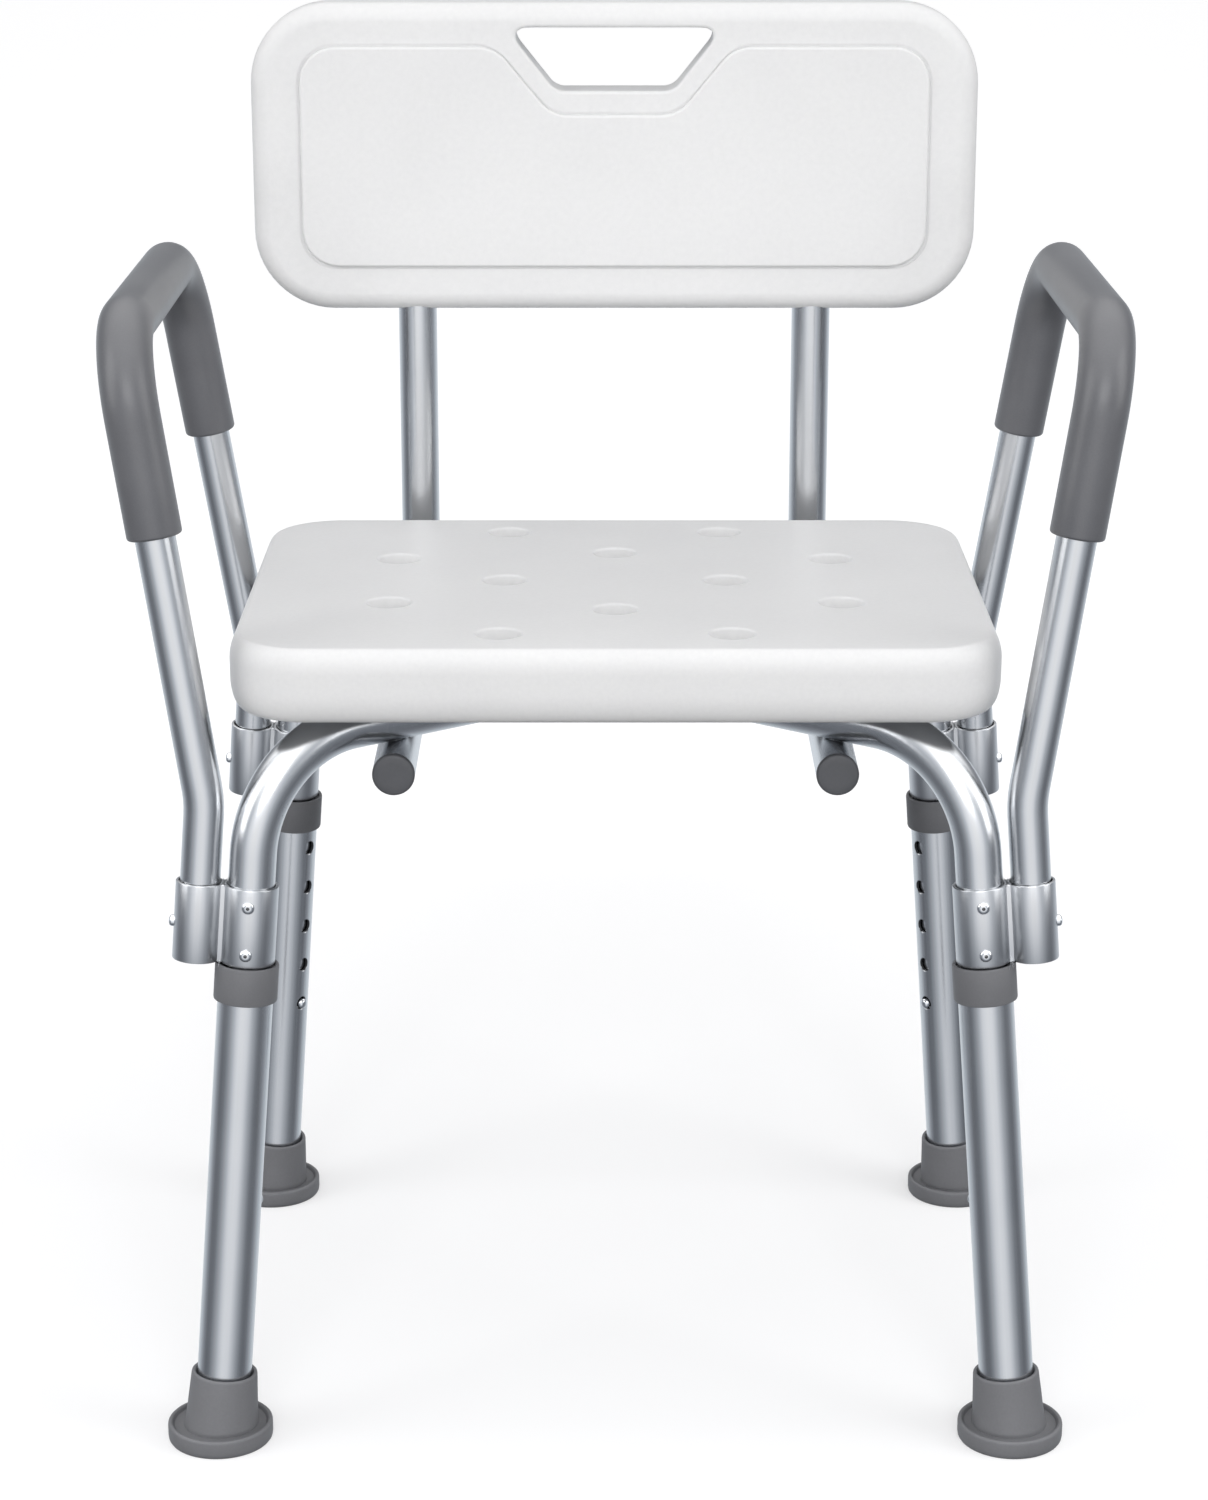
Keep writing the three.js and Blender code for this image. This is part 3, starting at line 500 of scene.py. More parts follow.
def grey_rubber(name, colour, roughness, grain_size):
    """Moulded rubber: a fine matt skin with a faint cloud and dust-pale high spots."""
    dark = tuple(0.88 * part for part in colour)
    pale = tuple(1.1 * part for part in colour)
    skin = Finish(
        bpy.data.materials.new(name), Base_Color=(*colour, 1), Roughness=roughness,
        Specular_IOR_Level=0.42)
    place = skin.add("TexCoord", output=3)
    fine = skin.add("TexNoise", Vector=place, Scale=grain_size, Detail=3.0, Roughness=0.65)
    cloud = skin.add("TexNoise", Vector=place, Scale=38.0, Detail=4.0)
    tone = skin.add("ValToRGB", {"stops": [(0.25, dark), (0.75, pale)]}, Fac=cloud * 0.6 + fine * 0.4)
    bump = skin.add("Bump", Height=fine, Strength=0.16, Distance=0.0003)
    skin.feed(Base_Color=tone, Normal=bump, Roughness=roughness - 0.07 + fine * 0.14)
    return skin.owner


COLLAR_PLASTIC = grey_rubber("grey collar plastic", (0.158, 0.16, 0.17), 0.5, 900.0)
collar = turned("collar_moulding", [
    *rings_mm((14.75, 0), (15.9, 0), (16.4, 0.3), (16.6, 1.0), base=COLLAR_BOTTOM),
    *rings_mm(
        (16.6, -1.0), (16.4, -0.3), (15.9, 0), (15.1, 0), (14.7, -0.3), (14.5, -2.6),
        (12.5, -3.0), (12.4, -4.5), base=COLLAR_TOP),
    *rings_mm((12.4, 0.3), (14.75, 0.3), base=LEG_TOP), (14.75 * MM, COLLAR_BOTTOM)], 64)
smooth(collar, 40)
collar.data.materials.append(COLLAR_PLASTIC)
for corner in CORNERS:
    ring = place_copy(collar, f"collar_{corner}", leg_matrix(corner))
    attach(ring, f"leg_{corner}")
    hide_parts(f"leg_collar_{corner}")
discard(collar)

# ---- Feet -----------------------------------------------------------------------------
# A grey rubber tip pushed on each leg: a tapered boot that follows the leg, in a broad
# dished base that is moulded level with the floor, with a grooved tread underneath.

LEG_LEAN = math.radians(5.5)


def rubber_foot():
    boot = turned("boot", rings_mm(
        (0, 2.5), (19.6, 2.5), (19.9, 6), (19.4, 11), (18.9, 16), (17.5, 36.6), (17.3, 37.5),
        (16.9, 37.9), (16.2, 38.0), (15.6, 37.7), (15.3, 36.9), (14.8, 30), (14.5, 29),
        (14.5, 8.6), (0, 8.6)), 72)
    boot.data.transform(Matrix.Rotation(-LEG_LEAN, 4, "Y"))
    tread = []
    for radius in (8, 13, 18, 23):
        tread += [(radius - 0.9, 0), (radius - 0.6, 0.9), (radius + 0.6, 0.9), (radius + 0.9, 0)]
    base = turned("base", rings_mm(
        (0, 0), *tread, (26.2, 0), (27.0, 0.3), (27.6, 1.2), (27.9, 3), (27.9, 8.6), (27.7, 9.5),
        (27.1, 10.1), (26.2, 10.2), (25.5, 9.9), (25.1, 9.2), (24.5, 8.3), (23.0, 8.0), (0, 8.0)), 72)
    carve(base, boot, "UNION")
    bore = turned("bore", rings_mm(
        (0, 8.6), (14.5, 8.6), (14.5, 34), (14.8, 36), (15.3, 39), (0, 39)), 72)
    bore.data.transform(Matrix.Rotation(-LEG_LEAN, 4, "Y"))
    carve(base, bore)
    smooth(base, 40)
    return base


FOOT_RUBBER = grey_rubber("grey foot rubber", (0.172, 0.174, 0.185), 0.56, 700.0)
foot = rubber_foot()
foot.data.materials.append(FOOT_RUBBER)
for corner in CORNERS:
    outward = foot_place(corner) - Vector((0, CHAIR_Y, 0))
    turn = Matrix.Rotation(math.atan2(outward.y, outward.x), 4, "Z")
    tip = place_copy(foot, f"rubber_foot_{corner}", Matrix.Translation(foot_place(corner)) @ turn)
    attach(tip, f"leg_{corner}")
    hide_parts(f"foot_{corner}")
discard(foot)

# ---- Crossed frame tubes --------------------------------------------------------------
# Two inverted U tubes, one over each diagonal, bent on a mandrel. They carry the seat, and
# where they cross under its middle each is pressed to half its height so that they nest.

FRAME_RADIUS = 12.1 * MM
FRAME_WALL = 1.5 * MM
FRAME_BOTTOM = 114.5 * MM
FRAME_BEND = 63.0 * MM
FRAME_RUN_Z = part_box("frame_tube_upper")[1].z - FRAME_RADIUS
PRESS_LENGTH = 84 * MM  # of the pressed middle, whose ends ease into the round tube
PRESS_EASE = 20 * MM
NEST_GAP = 0.3 * MM


class Bender:
    """A round tube made as a tube bender makes it, ring after ring: straights and bends."""

    def __init__(self, start, along, radius, sides=44):
        clear()
        self.centre = Vector(start)
        self.along = Vector(along).normalized()
        self.radius = radius
        turn = Vector((0, 0, 1)).rotation_difference(self.along)
        self.side = turn @ Vector((1, 0, 0))
        self.travelled = 0.0
        self.rings = []
        bpy.ops.mesh.primitive_circle_add(
            vertices=sides, radius=radius, location=self.centre, rotation=turn.to_euler())
        bpy.ops.object.mode_set(mode="EDIT")
        bpy.ops.mesh.select_all(action="SELECT")
        self.keep_ring()

    def keep_ring(self):
        self.rings.append((self.centre.copy(), self.along.copy(), self.side.copy(), self.travelled))

    def straight(self, length, steps=1):
        for _ in range(steps):
            step = self.along * (length / steps)
            bpy.ops.mesh.extrude_region_move(TRANSFORM_OT_translate={"value": step})
            self.centre += step
            self.travelled += length / steps
            self.keep_ring()
        return self

    def bend(self, towards, radius, step_degrees=4.0):
        """Turns the tube to a new direction on a bend of that radius."""
        angle = self.along.angle(towards)
        axis = self.along.cross(towards).normalized()
        middle = self.centre + axis.cross(self.along) * radius
        steps = max(2, math.ceil(math.degrees(angle) / step_degrees))
        for _ in range(steps):
            bpy.ops.mesh.spin(steps=1, angle=-angle / steps, center=middle, axis=axis)
            turn = Matrix.Rotation(angle / steps, 3, axis)
            self.centre = middle + turn @ (self.centre - middle)
            self.along = (turn @ self.along).normalized()
            self.side = (turn @ self.side).normalized()
            self.travelled += radius * angle / steps
            self.keep_ring()
        return self

    def walled(self, name, wall):
        """Gives the tube its wall, inwards from its outside."""
        bpy.ops.mesh.select_all(action="SELECT")
        bpy.ops.mesh.remove_doubles(threshold=0.000001)
        bpy.ops.mesh.normals_make_consistent(inside=False)
        piece = settle(name)
        face = piece.data.polygons[0]
        if (face.center - self.rings[0][0]).dot(face.normal) < 0:
            edit(piece, "FACE")
            bpy.ops.mesh.select_all(action="SELECT")
            bpy.ops.mesh.flip_normals()
            clear()
        keep_grain(piece, self.rings)
        refine(piece, "SOLIDIFY", thickness=wall, offset=-1, use_even_offset=True)
        return piece


def corner_drop(turn_angle, radius):
    """How far before a corner its bend begins."""
    return radius * math.tan(turn_angle / 2)


def frame_tube(name, start_corner, end_corner, keeps_top):
    up = leg_axis(start_corner)
    foot = foot_place(start_corner)
    start = foot + up * FRAME_BOTTOM
    level = foot_place(end_corner) - foot
    level.z = 0
    level.normalize()
    down = -leg_axis(end_corner)
    corner_length = (FRAME_RUN_Z - foot.z) / up.z
    drop = corner_drop(up.angle(level), FRAME_BEND)
    corner = foot + up * corner_length
    far_corner = foot_place(end_corner) - down * corner_length
    run = (far_corner - corner).length - 2 * drop
    half_run = (run - PRESS_LENGTH) / 2
    bender = Bender(start, up, FRAME_RADIUS)
    bender.straight(corner_length - FRAME_BOTTOM - drop, 3)
    bender.bend(level, FRAME_BEND)
    bender.straight(half_run, 2).straight(PRESS_LENGTH, 42).straight(half_run, 2)
    bender.bend(down, FRAME_BEND)
    bender.straight(corner_length - FRAME_BOTTOM - drop, 3)
    piece = bender.walled(name, FRAME_WALL)
    middle = Vector((0, CHAIR_Y, FRAME_RUN_Z))
    for vertex in piece.data.vertices:
        reach = abs((vertex.co - middle).dot(level))
        if reach > PRESS_LENGTH / 2:
            continue
        share = 1 - min(max((reach - PRESS_EASE) / PRESS_EASE, 0), 1)
        share = share * share * (3 - 2 * share)
        height = vertex.co.z - FRAME_RUN_Z
        across = vertex.co - middle
        across = across - level * across.dot(level)
        across.z = 0
        inner = math.hypot(across.length, height) < FRAME_RADIUS - FRAME_WALL / 2
        floor = NEST_GAP + (FRAME_WALL if inner else 0)
        pressed = max(height, floor) if keeps_top else min(height, -floor)
        vertex.co.z = FRAME_RUN_Z + height + (pressed - height) * share
        vertex.co += across * 0.1 * share
    smooth(piece, 50)
    piece.data.materials.append(TUBE_METAL)
    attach(piece, "frame")
    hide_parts(name)
    piece.name = name.replace("frame_tube", "cross_tube")


frame_tube("frame_tube_upper", "front_right", "rear_left", True)
frame_tube("frame_tube_lower", "front_left", "rear_right", False)

# ---- Arm brackets ---------------------------------------------------------------------
# A cut length of extruded double barrel: the inner barrel is riveted to the frame tube and
# the outer one takes the foot of the arm. Its sawn ends are deburred to a bright edge.

BRACKET_BOTTOM = 265.8 * MM
BRACKET_LENGTH = 41.5 * MM
ARM_BUTTON_HEIGHT = 19.0 * MM
ARM_OFFSET = 26.5 * MM
FRAME_BARREL = 14.2 * MM
ARM_BARREL = 12.5 * MM
FRAME_SOCKET = 12.45 * MM
ARM_SOCKET = 10.75 * MM
ARM_RADIUS = 10.4 * MM


def side_matrix(corner, length):
    """Turns a piece drawn up Z, its arm side on +X, to a height on a leg's line."""
    up = leg_axis(corner)
    side = -Vector(SLIDES[f"arm_button_press_{corner}"]["axis"]).normalized()
    across = up.cross(side)
    place = foot_place(corner) + up * length
    return Matrix.Translation(place) @ Matrix((side, across, up)).transposed().to_4x4()


def barrel(radius, x, low=0.0, high=BRACKET_LENGTH, sides=64):
    clear()
    bpy.ops.mesh.primitive_cylinder_add(
        vertices=sides, radius=radius, depth=high - low, location=(x, 0, (low + high) / 2))
    bpy.ops.object.mode_set(mode="EDIT")
    return settle("barrel")


def bracket():
    body = barrel(FRAME_BARREL, 0)
    clear()
    bpy.ops.mesh.primitive_cube_add(
        size=1, location=(14.2 * MM, 0, BRACKET_LENGTH / 2), scale=(6 * MM, 11 * MM, BRACKET_LENGTH))
    bpy.ops.object.mode_set(mode="EDIT")
    web = settle("web")
    carve(body, barrel(ARM_BARREL, ARM_OFFSET), "UNION")
    carve(body, web, "UNION")
    spare = 1 * MM
    carve(body, barrel(FRAME_SOCKET, 0, -spare, BRACKET_LENGTH + spare))
    carve(body, barrel(ARM_SOCKET, ARM_OFFSET, -spare, BRACKET_LENGTH + spare))
    drill = barrel(3.3 * MM, 0, 0, 20 * MM, 28)
    drill.data.transform(
        Matrix.Translation((ARM_OFFSET, 0, ARM_BUTTON_HEIGHT)) @ Matrix.Rotation(math.pi / 2, 4, "Y"))
    carve(body, drill)
    round_edges(body, lambda a, b: any(
        abs(a.z - z) < 1e-5 and abs(b.z - z) < 1e-5 for z in (0, BRACKET_LENGTH)), 0.45 * MM, 2)
    smooth(body, 32)
    keep_grain(body)
    return body


BRACKET_METAL = satin_aluminium("extruded bracket aluminium", shade=0.94, roughness=0.3)
double_barrel = bracket()
double_barrel.data.materials.append(BRACKET_METAL)
for corner in CORNERS:
    clamp = place_copy(double_barrel, f"bracket_{corner}", side_matrix(corner, BRACKET_BOTTOM))
    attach(clamp, "frame")
    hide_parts(f"arm_bracket_{corner}")
discard(double_barrel)

# ---- Blind rivets ---------------------------------------------------------------------
# Two aluminium pop rivets through each frame barrel, facing out. The head is a low bright
# dome with the snapped steel mandrel dark in its middle.

RIVET_HEIGHTS = {"lower": 7 * MM, "upper": 32.5 * MM}


def blind_rivet():
    return turned("rivet", rings_mm(
        (0, -5), (2.2, -5), (2.2, -0.4), (3.3, -0.4), (3.3, 0.3), (3.05, 0.8), (2.6, 1.25),
        (2.0, 1.6), (1.4, 1.78), (0.95, 1.8), (0.8, 1.6), (0.75, 0.7), (0, 0.75),
        base=FRAME_BARREL), 32)


RIVET_METAL = satin_aluminium("rivet aluminium", shade=1.12, roughness=0.18)
MANDREL_STEEL = satin_aluminium("snapped mandrel steel", shade=0.3, roughness=0.45)
rivet = blind_rivet()
smooth(rivet, 40)
keep_grain(rivet)
rivet.data.materials.append(RIVET_METAL)
rivet.data.materials.append(MANDREL_STEEL)
for face in rivet.data.polygons:
    inside = math.hypot(face.center.x, face.center.y) < 0.85 * MM
    face.material_index = 1 if inside and face.center.z > FRAME_BARREL else 0
for corner in CORNERS:
    out = -1 if corner in ("front_left", "rear_right") else 1
    for place, height in RIVET_HEIGHTS.items():
        tilt = Matrix.Translation((0, 0, height)) @ Matrix.Rotation(-out * math.pi / 2, 4, "X")
        head = place_copy(
            rivet, f"rivet_{place}_{corner}", side_matrix(corner, BRACKET_BOTTOM) @ tilt)
        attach(head, "frame")
        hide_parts(f"bracket_rivet_{place}_{corner}")
discard(rivet)

# ---- Snap buttons ---------------------------------------------------------------------
# A bright plated pin on a folded spring leaf inside the inner tube. The domed pin stands
# out through both tubes and locks them; pressing it in bends the leaf and lets them slide.


def snap_button(outside, bore):
    """A pin for a tube of one outer radius, on a leaf that springs across a bore."""
    reach = bore * 0.9
    leaf_width = 6 * MM
    front_height = 14 * MM
    dome = rings_mm(
        (3.0, 0.8), (2.9, 1.4), (2.5, 2.0), (1.7, 2.4), (0.9, 2.55), (0, 2.6), base=outside)
    pin = turned("pin", rings_mm((0, -1), (3.0, -1), base=reach) + dome, 32)
    pin.data.transform(Matrix.Rotation(-math.pi / 2, 4, "Y"))
    clear()
    bpy.ops.mesh.primitive_plane_add(
        size=1, location=(-reach, 0, 1 * MM), rotation=(0, math.pi / 2, 0))
    bpy.ops.object.mode_set(mode="EDIT")
    bpy.ops.mesh.select_all(action="SELECT")
    bpy.ops.transform.resize(value=(1, leaf_width, front_height))
    bpy.ops.mesh.select_mode(type="EDGE")
    bpy.ops.mesh.select_all(action="DESELECT")
    strip = bpy.context.object
    mesh = bmesh.from_edit_mesh(strip.data)
    to_world = strip.matrix_world
    for edge in mesh.edges:
        edge.select_set(all((to_world @ corner.co).z < 0 for corner in edge.verts))
    bmesh.update_edit_mesh(strip.data)
    slope, fold = 17 * MM, 1.5 * MM
    for step in ((reach * 0.8, 0, -slope), (reach * 0.2, 0, -fold), (reach * 0.2, 0, fold),
                 (reach * 0.8, 0, slope), (0, 0, 9 * MM)):
        bpy.ops.mesh.extrude_region_move(TRANSFORM_OT_translate={"value": step})
    leaf = settle("leaf")
    refine(leaf, "SOLIDIFY", thickness=0.6 * MM, offset=0)
    refine(leaf, "BEVEL", width=0.15 * MM, segments=1, limit_method="ANGLE")
    carve(pin, leaf, "UNION")
    smooth(pin, 40)
    keep_grain(pin)
    return pin


def let_leaf_flex(button):
    """Bakes the button's placement into its mesh."""
    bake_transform(button)


FRAME_BORE = FRAME_RADIUS - FRAME_WALL
ARM_BORE = 9.0 * MM
PLATED_STEEL = satin_aluminium("plated button steel", shade=1.2, roughness=0.16)
leg_snap = snap_button(LEG_RADIUS, FRAME_BORE)
leg_snap.data.materials.append(PLATED_STEEL)
arm_snap = snap_button(ARM_BARREL, ARM_BORE)
arm_snap.data.materials.append(PLATED_STEEL)
for corner in CORNERS:
    at_hole = leg_matrix(corner) @ Matrix.Translation((0, 0, FIRST_HOLE))
    button = place_copy(leg_snap, f"leg_snap_pin_{corner}", at_hole)
    let_leaf_flex(button)
    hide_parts(f"leg_button_{corner}")
    turned_over = Matrix.Translation((ARM_OFFSET, 0, ARM_BUTTON_HEIGHT)) @ Matrix.Rotation(
        math.pi, 4, "Y")  # so that the leaf points up into the arm
    at_hole = side_matrix(corner, BRACKET_BOTTOM) @ turned_over
    button = place_copy(arm_snap, f"arm_snap_pin_{corner}", at_hole)
    let_leaf_flex(button)
    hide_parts(f"arm_button_{corner}")
discard(leg_snap)
discard(arm_snap)

# ---- Arm tubes ------------------------------------------------------------------------
# Each arm is one inverted U of slimmer tube. Its stems stand in the outer barrels, turn
# outwards just above them, and rise to a level rail.

ARM_WALL = 1.4 * MM
ARM_BEND_Z = 348.0 * MM
ARM_RAIL_X = 248.0 * MM
ARM_RAIL_Y = 126.0 * MM
ARM_RAIL_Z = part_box("arm_tube_left")[1].z - ARM_RADIUS
ARM_LOW_BEND = 65.0 * MM
ARM_TOP_BEND = 45.0 * MM


def arm_points(side):
    """The corners of an arm's route, from its front foot to its rear foot."""
    name = "left" if side > 0 else "right"
    feet, bends = [], []
    for end in ("front", "rear"):
        corner = f"{end}_{name}"
        low = side_matrix(corner, BRACKET_BOTTOM + 1 * MM) @ Vector((ARM_OFFSET, 0, 0))
        bend_length = ARM_BEND_Z / leg_axis(corner).z
        feet.append(low)
        bends.append(side_matrix(corner, bend_length) @ Vector((ARM_OFFSET, 0, 0)))
    tops = [Vector((side * ARM_RAIL_X, CHAIR_Y + end * ARM_RAIL_Y, ARM_RAIL_Z)) for end in (-1, 1)]
    return [feet[0], bends[0], tops[0], tops[1], bends[1], feet[1]]


def bend_route(points, bends, radius):
    """Draws a tube through points, each inner corner rounded to its bend."""
    ways = [(after - before).normalized() for before, after in zip(points, points[1:])]
    lengths = [(after - before).length for before, after in zip(points, points[1:])]
    drops = [0.0] + [
        corner_drop(ways[i].angle(ways[i + 1]), bends[i]) for i in range(len(bends))] + [0.0]
    bender = Bender(points[0], ways[0], radius)
    for index, (way, length) in enumerate(zip(ways, lengths)):
        bender.straight(length - drops[index] - drops[index + 1], 2)
        if index < len(bends):
            bender.bend(ways[index + 1], bends[index], 5.0)
    return bender


for name, side in (("left", 1), ("right", -1)):
    route = bend_route(
        arm_points(side), (ARM_LOW_BEND, ARM_TOP_BEND, ARM_TOP_BEND, ARM_LOW_BEND), ARM_RADIUS)
    arm = route.walled(f"arm_{name}", ARM_WALL)
    smooth(arm, 50)
    arm.data.materials.append(TUBE_METAL)
    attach(arm, "frame")
    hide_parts(f"arm_tube_{name}")

# ---- Arm grips ------------------------------------------------------------------------
# A long soft grey sleeve, dipped and slipped over each rail and the tops of both stems.
# Its ends are rounded, and it has a fine skin with a soft sheen.

GRIP_RADIUS = 14.2 * MM
GRIP_END_Z = 486.0 * MM
GRIP_FIT = 0.15 * MM  # between the sleeve and the tube


def soft_grip(name, side):
    points = arm_points(side)
    share = (GRIP_END_Z - ARM_BEND_Z) / (ARM_RAIL_Z - ARM_BEND_Z)
    ends = [points[1].lerp(points[2], share), points[4].lerp(points[3], share)]
    route = bend_route(
        [ends[0], points[2], points[3], ends[1]], (ARM_TOP_BEND, ARM_TOP_BEND), GRIP_RADIUS)
    grip = route.walled(name, GRIP_RADIUS - ARM_RADIUS - GRIP_FIT)

    def on_rim(a, b):
        return any(
            all(abs((p - centre).dot(along)) < 0.1 * MM and (p - centre).length > 13 * MM
                for p in (a, b))
            for centre, along, _, _ in (route.rings[0], route.rings[-1]))

    round_edges(grip, on_rim, 1.7 * MM, 5)
    smooth(grip, 50)
    return grip


def grip_skin():
    """Soft vinyl: a satin skin, faintly mottled in colour, polish and surface."""
    skin = Finish(
        bpy.data.materials.new("grey grip vinyl"), Base_Color=(0.125, 0.127, 0.138, 1),
        Roughness=0.4, Coat_Weight=0.15, Coat_Roughness=0.3, Specular_IOR_Level=0.5)
    place = skin.add("TexCoord", output=3)
    fine = skin.add("TexNoise", Vector=place, Scale=1100.0, Detail=2.0)
    mottle = skin.add("TexNoise", Vector=place, Scale=16.0, Detail=3.0, Roughness=0.55)
    tone = skin.add("ValToRGB", {"stops": [
        (0.3, (0.108, 0.11, 0.12)), (0.7, (0.142, 0.144, 0.155))]}, Fac=mottle * 0.75 + fine * 0.25)
    ripple = mottle * 0.8 + fine * 0.2
    bump = skin.add("Bump", Height=ripple, Strength=0.12, Distance=0.001)
    skin.feed(Base_Color=tone, Normal=bump, Roughness=0.26 + mottle * 0.2 + fine * 0.06)
    return skin.owner


GRIP_VINYL = grip_skin()
for name, side in (("left", 1), ("right", -1)):
    grip = soft_grip(f"grip_{name}", side)
    grip.data.materials.append(GRIP_VINYL)
    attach(grip, "frame")
    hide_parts(f"arm_grip_{name}")

# ---- Back tubes -----------------------------------------------------------------------
# Two J-shaped tubes run level under the seat, turn up behind it and enter the backrest.
# Each is pressed to a saddle where a frame tube lies across it.

BACK_RADIUS = 11.1 * MM
BACK_WALL = 1.6 * MM
BACK_BEND = 42.0 * MM
BACK_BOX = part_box("back_tube_left")
BACK_X = (BACK_BOX[0].x + BACK_BOX[1].x) / 2
BACK_RUN_Z = BACK_BOX[0].z + BACK_RADIUS
UPRIGHT_Y = BACK_BOX[1].y - BACK_RADIUS


def saddle(piece, x):
    """Presses the tube's top to the shape of the frame tubes that lie across it."""
    for corner in CORNERS:
        foot = foot_place(corner) - Vector((0, CHAIR_Y, 0))
        if foot.x * x < 0:
            continue
        way = Vector((foot.x, foot.y, 0)).normalized()
        across = Vector((-way.y, way.x, 0))
        limit = FRAME_RADIUS + NEST_GAP
        cross_y = CHAIR_Y + x * foot.y / foot.x
        for vertex in piece.data.vertices:
            if abs(vertex.co.y - cross_y) > 34 * MM or vertex.co.z < BACK_RUN_Z:
                continue
            offset = (vertex.co - Vector((0, CHAIR_Y, 0))).dot(across)
            drop = FRAME_RUN_Z - vertex.co.z
            if abs(offset) < limit and offset ** 2 + drop ** 2 < limit ** 2:
                vertex.co.z = FRAME_RUN_Z - math.sqrt(limit ** 2 - offset ** 2)


def back_tube(name, x):
    start = Vector((x, BACK_BOX[0].y, BACK_RUN_Z))
    up = Vector((0, 0, 1))
    run = UPRIGHT_Y - BACK_BEND - start.y
    rise = BACK_BOX[1].z - BACK_RUN_Z - BACK_BEND
    bender = Bender(start, Vector((0, 1, 0)), BACK_RADIUS)
    bender.straight(run, 170)
    bender.bend(up, BACK_BEND)
    bender.straight(rise, 3)
    piece = bender.walled(name, BACK_WALL)
    saddle(piece, x)
    smooth(piece, 40)
    return piece


for name, side in (("left", 1), ("right", -1)):
    upright = back_tube(f"back_support_{name}", side * BACK_X)
    upright.data.materials.append(TUBE_METAL)
    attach(upright, "frame")
    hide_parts(f"back_tube_{name}")

# ---- Back tube caps -------------------------------------------------------------------
# A dark grey polyethylene plug pressed into the front end of each back tube, with a flat
# flange that covers the tube's edge.

CAP_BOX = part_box("back_tube_cap_left")
BACKWARDS = Matrix.Rotation(-math.pi / 2, 4, "X")  # turns what is drawn up Z to point back


def end_cap():
    length = CAP_BOX[1].y - CAP_BOX[0].y
    flange = rings_mm(
        (0, 0), (6.5, 0), (9.6, 0.1), (10.4, 0.35), (10.9, 0.85), (11.1, 1.5), (11.1, 2.8), (9.3, 2.8))
    plug_end = rings_mm((9.3, -1), (8.6, 0), (0, 0), base=length)
    return turned("cap", flange + plug_end, 56)


CAP_PLASTIC = grey_rubber("dark grey cap plastic", (0.09, 0.092, 0.1), 0.46, 500.0)
cap = end_cap()
smooth(cap, 40)
cap.data.materials.append(CAP_PLASTIC)
for name, side in (("left", 1), ("right", -1)):
    place = Matrix.Translation((side * BACK_X, CAP_BOX[0].y, BACK_RUN_Z))
    plug = place_copy(cap, f"tube_cap_{name}", place @ BACKWARDS)
    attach(plug, "frame")
    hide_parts(f"back_tube_cap_{name}")
discard(cap)

# ---- Bolts and screws -----------------------------------------------------------------
# Plated bolts come up through the back tubes and frame tubes into the seat, one at each
# crossing; pan-headed screws hold the backrest to its tubes from behind.


def seat_bolt(height):
    """A flanged bolt with a socket in its head, its shank rising through the tubes."""
    head = rings_mm(
        (0, 1.6), (1.9, 1.6), (2.1, 0.1), (4.1, 0), (4.7, 0.3), (5.0, 0.9), (5.0, 2.8),
        (5.3, 3.2), (5.4, 3.8), (5.2, 4.0), (3.0, 4.0))
    bolt = turned("bolt", head + rings_mm((3.0, -1), (2.2, 0), (0, 0), base=height), 36)
    smooth(bolt, 35)
    keep_grain(bolt)
    bolt.data.materials.append(PLATED_STEEL)
    return bolt


for node in [f"seat_bolt_{corner}" for corner in CORNERS] + ["centre_bolt"]:
    low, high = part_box(node)
    bolt = seat_bolt(high.z - low.z)
    middle = (low + high) / 2
    bolt.data.transform(Matrix.Translation((middle.x, middle.y, low.z)))
    bolt.name = node.replace("bolt", "fastener")
    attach(bolt, "frame")
    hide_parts(node)

SCREW_PLACES = ("lower_left", "upper_left", "lower_right", "upper_right")
for name in SCREW_PLACES:
    node = f"backrest_screw_{name}"
    low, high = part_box(node)
    middle = (low + high) / 2
    length = high.y - low.y
    head = rings_mm(
        (2.3, -2.3), (5.0, -2.3), (4.9, -1.3), (4.2, -0.5), (3.0, -0.1), (2.0, 0), (1.7, -0.2),
        (1.2, -1.7), (0, -1.8), base=length)
    screw = turned("screw", rings_mm((0, 0), (1.4, 0), (2.3, 1.8)) + head, 36)
    screw.data.transform(Matrix.Translation((middle.x, low.y, middle.z)) @ BACKWARDS)
    smooth(screw, 35)
    keep_grain(screw)
    screw.data.materials.append(PLATED_STEEL)
    screw.name = f"pan_screw_{name}"
    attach(screw, "frame")
    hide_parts(node)

# ---- Seat -----------------------------------------------------------------------------
# One blow moulding in white polyethylene, with every edge rolled and a pinched funnel
# moulded through it at each drain hole. Its skin is satin and very lightly grained.

SEAT_LOW, SEAT_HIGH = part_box("seat")
SEAT_CORNER = 42.0 * MM
SEAT_ROLL = 6.5 * MM
TOP_FULLNESS = 2.0  # how much taller than it is deep each roll is
UNDER_FULLNESS = 2.4
DRAIN_PLACES = [  # in millimetres from the middle of the seat
    (-60, -113), (60, -113), (-60, 0), (60, 0), (-60, 113), (60, 113),
    (0, -63), (0, 63), (-120, -49), (120, -49), (-120, 49), (120, 49),
]


def slab(name, low, high):
    """A block between two corners, to be rounded."""
    clear()
    middle = (low + high) / 2
    bpy.ops.mesh.primitive_cube_add(size=1, location=middle, scale=high - low)
    bpy.ops.object.mode_set(mode="EDIT")
    return settle(name)


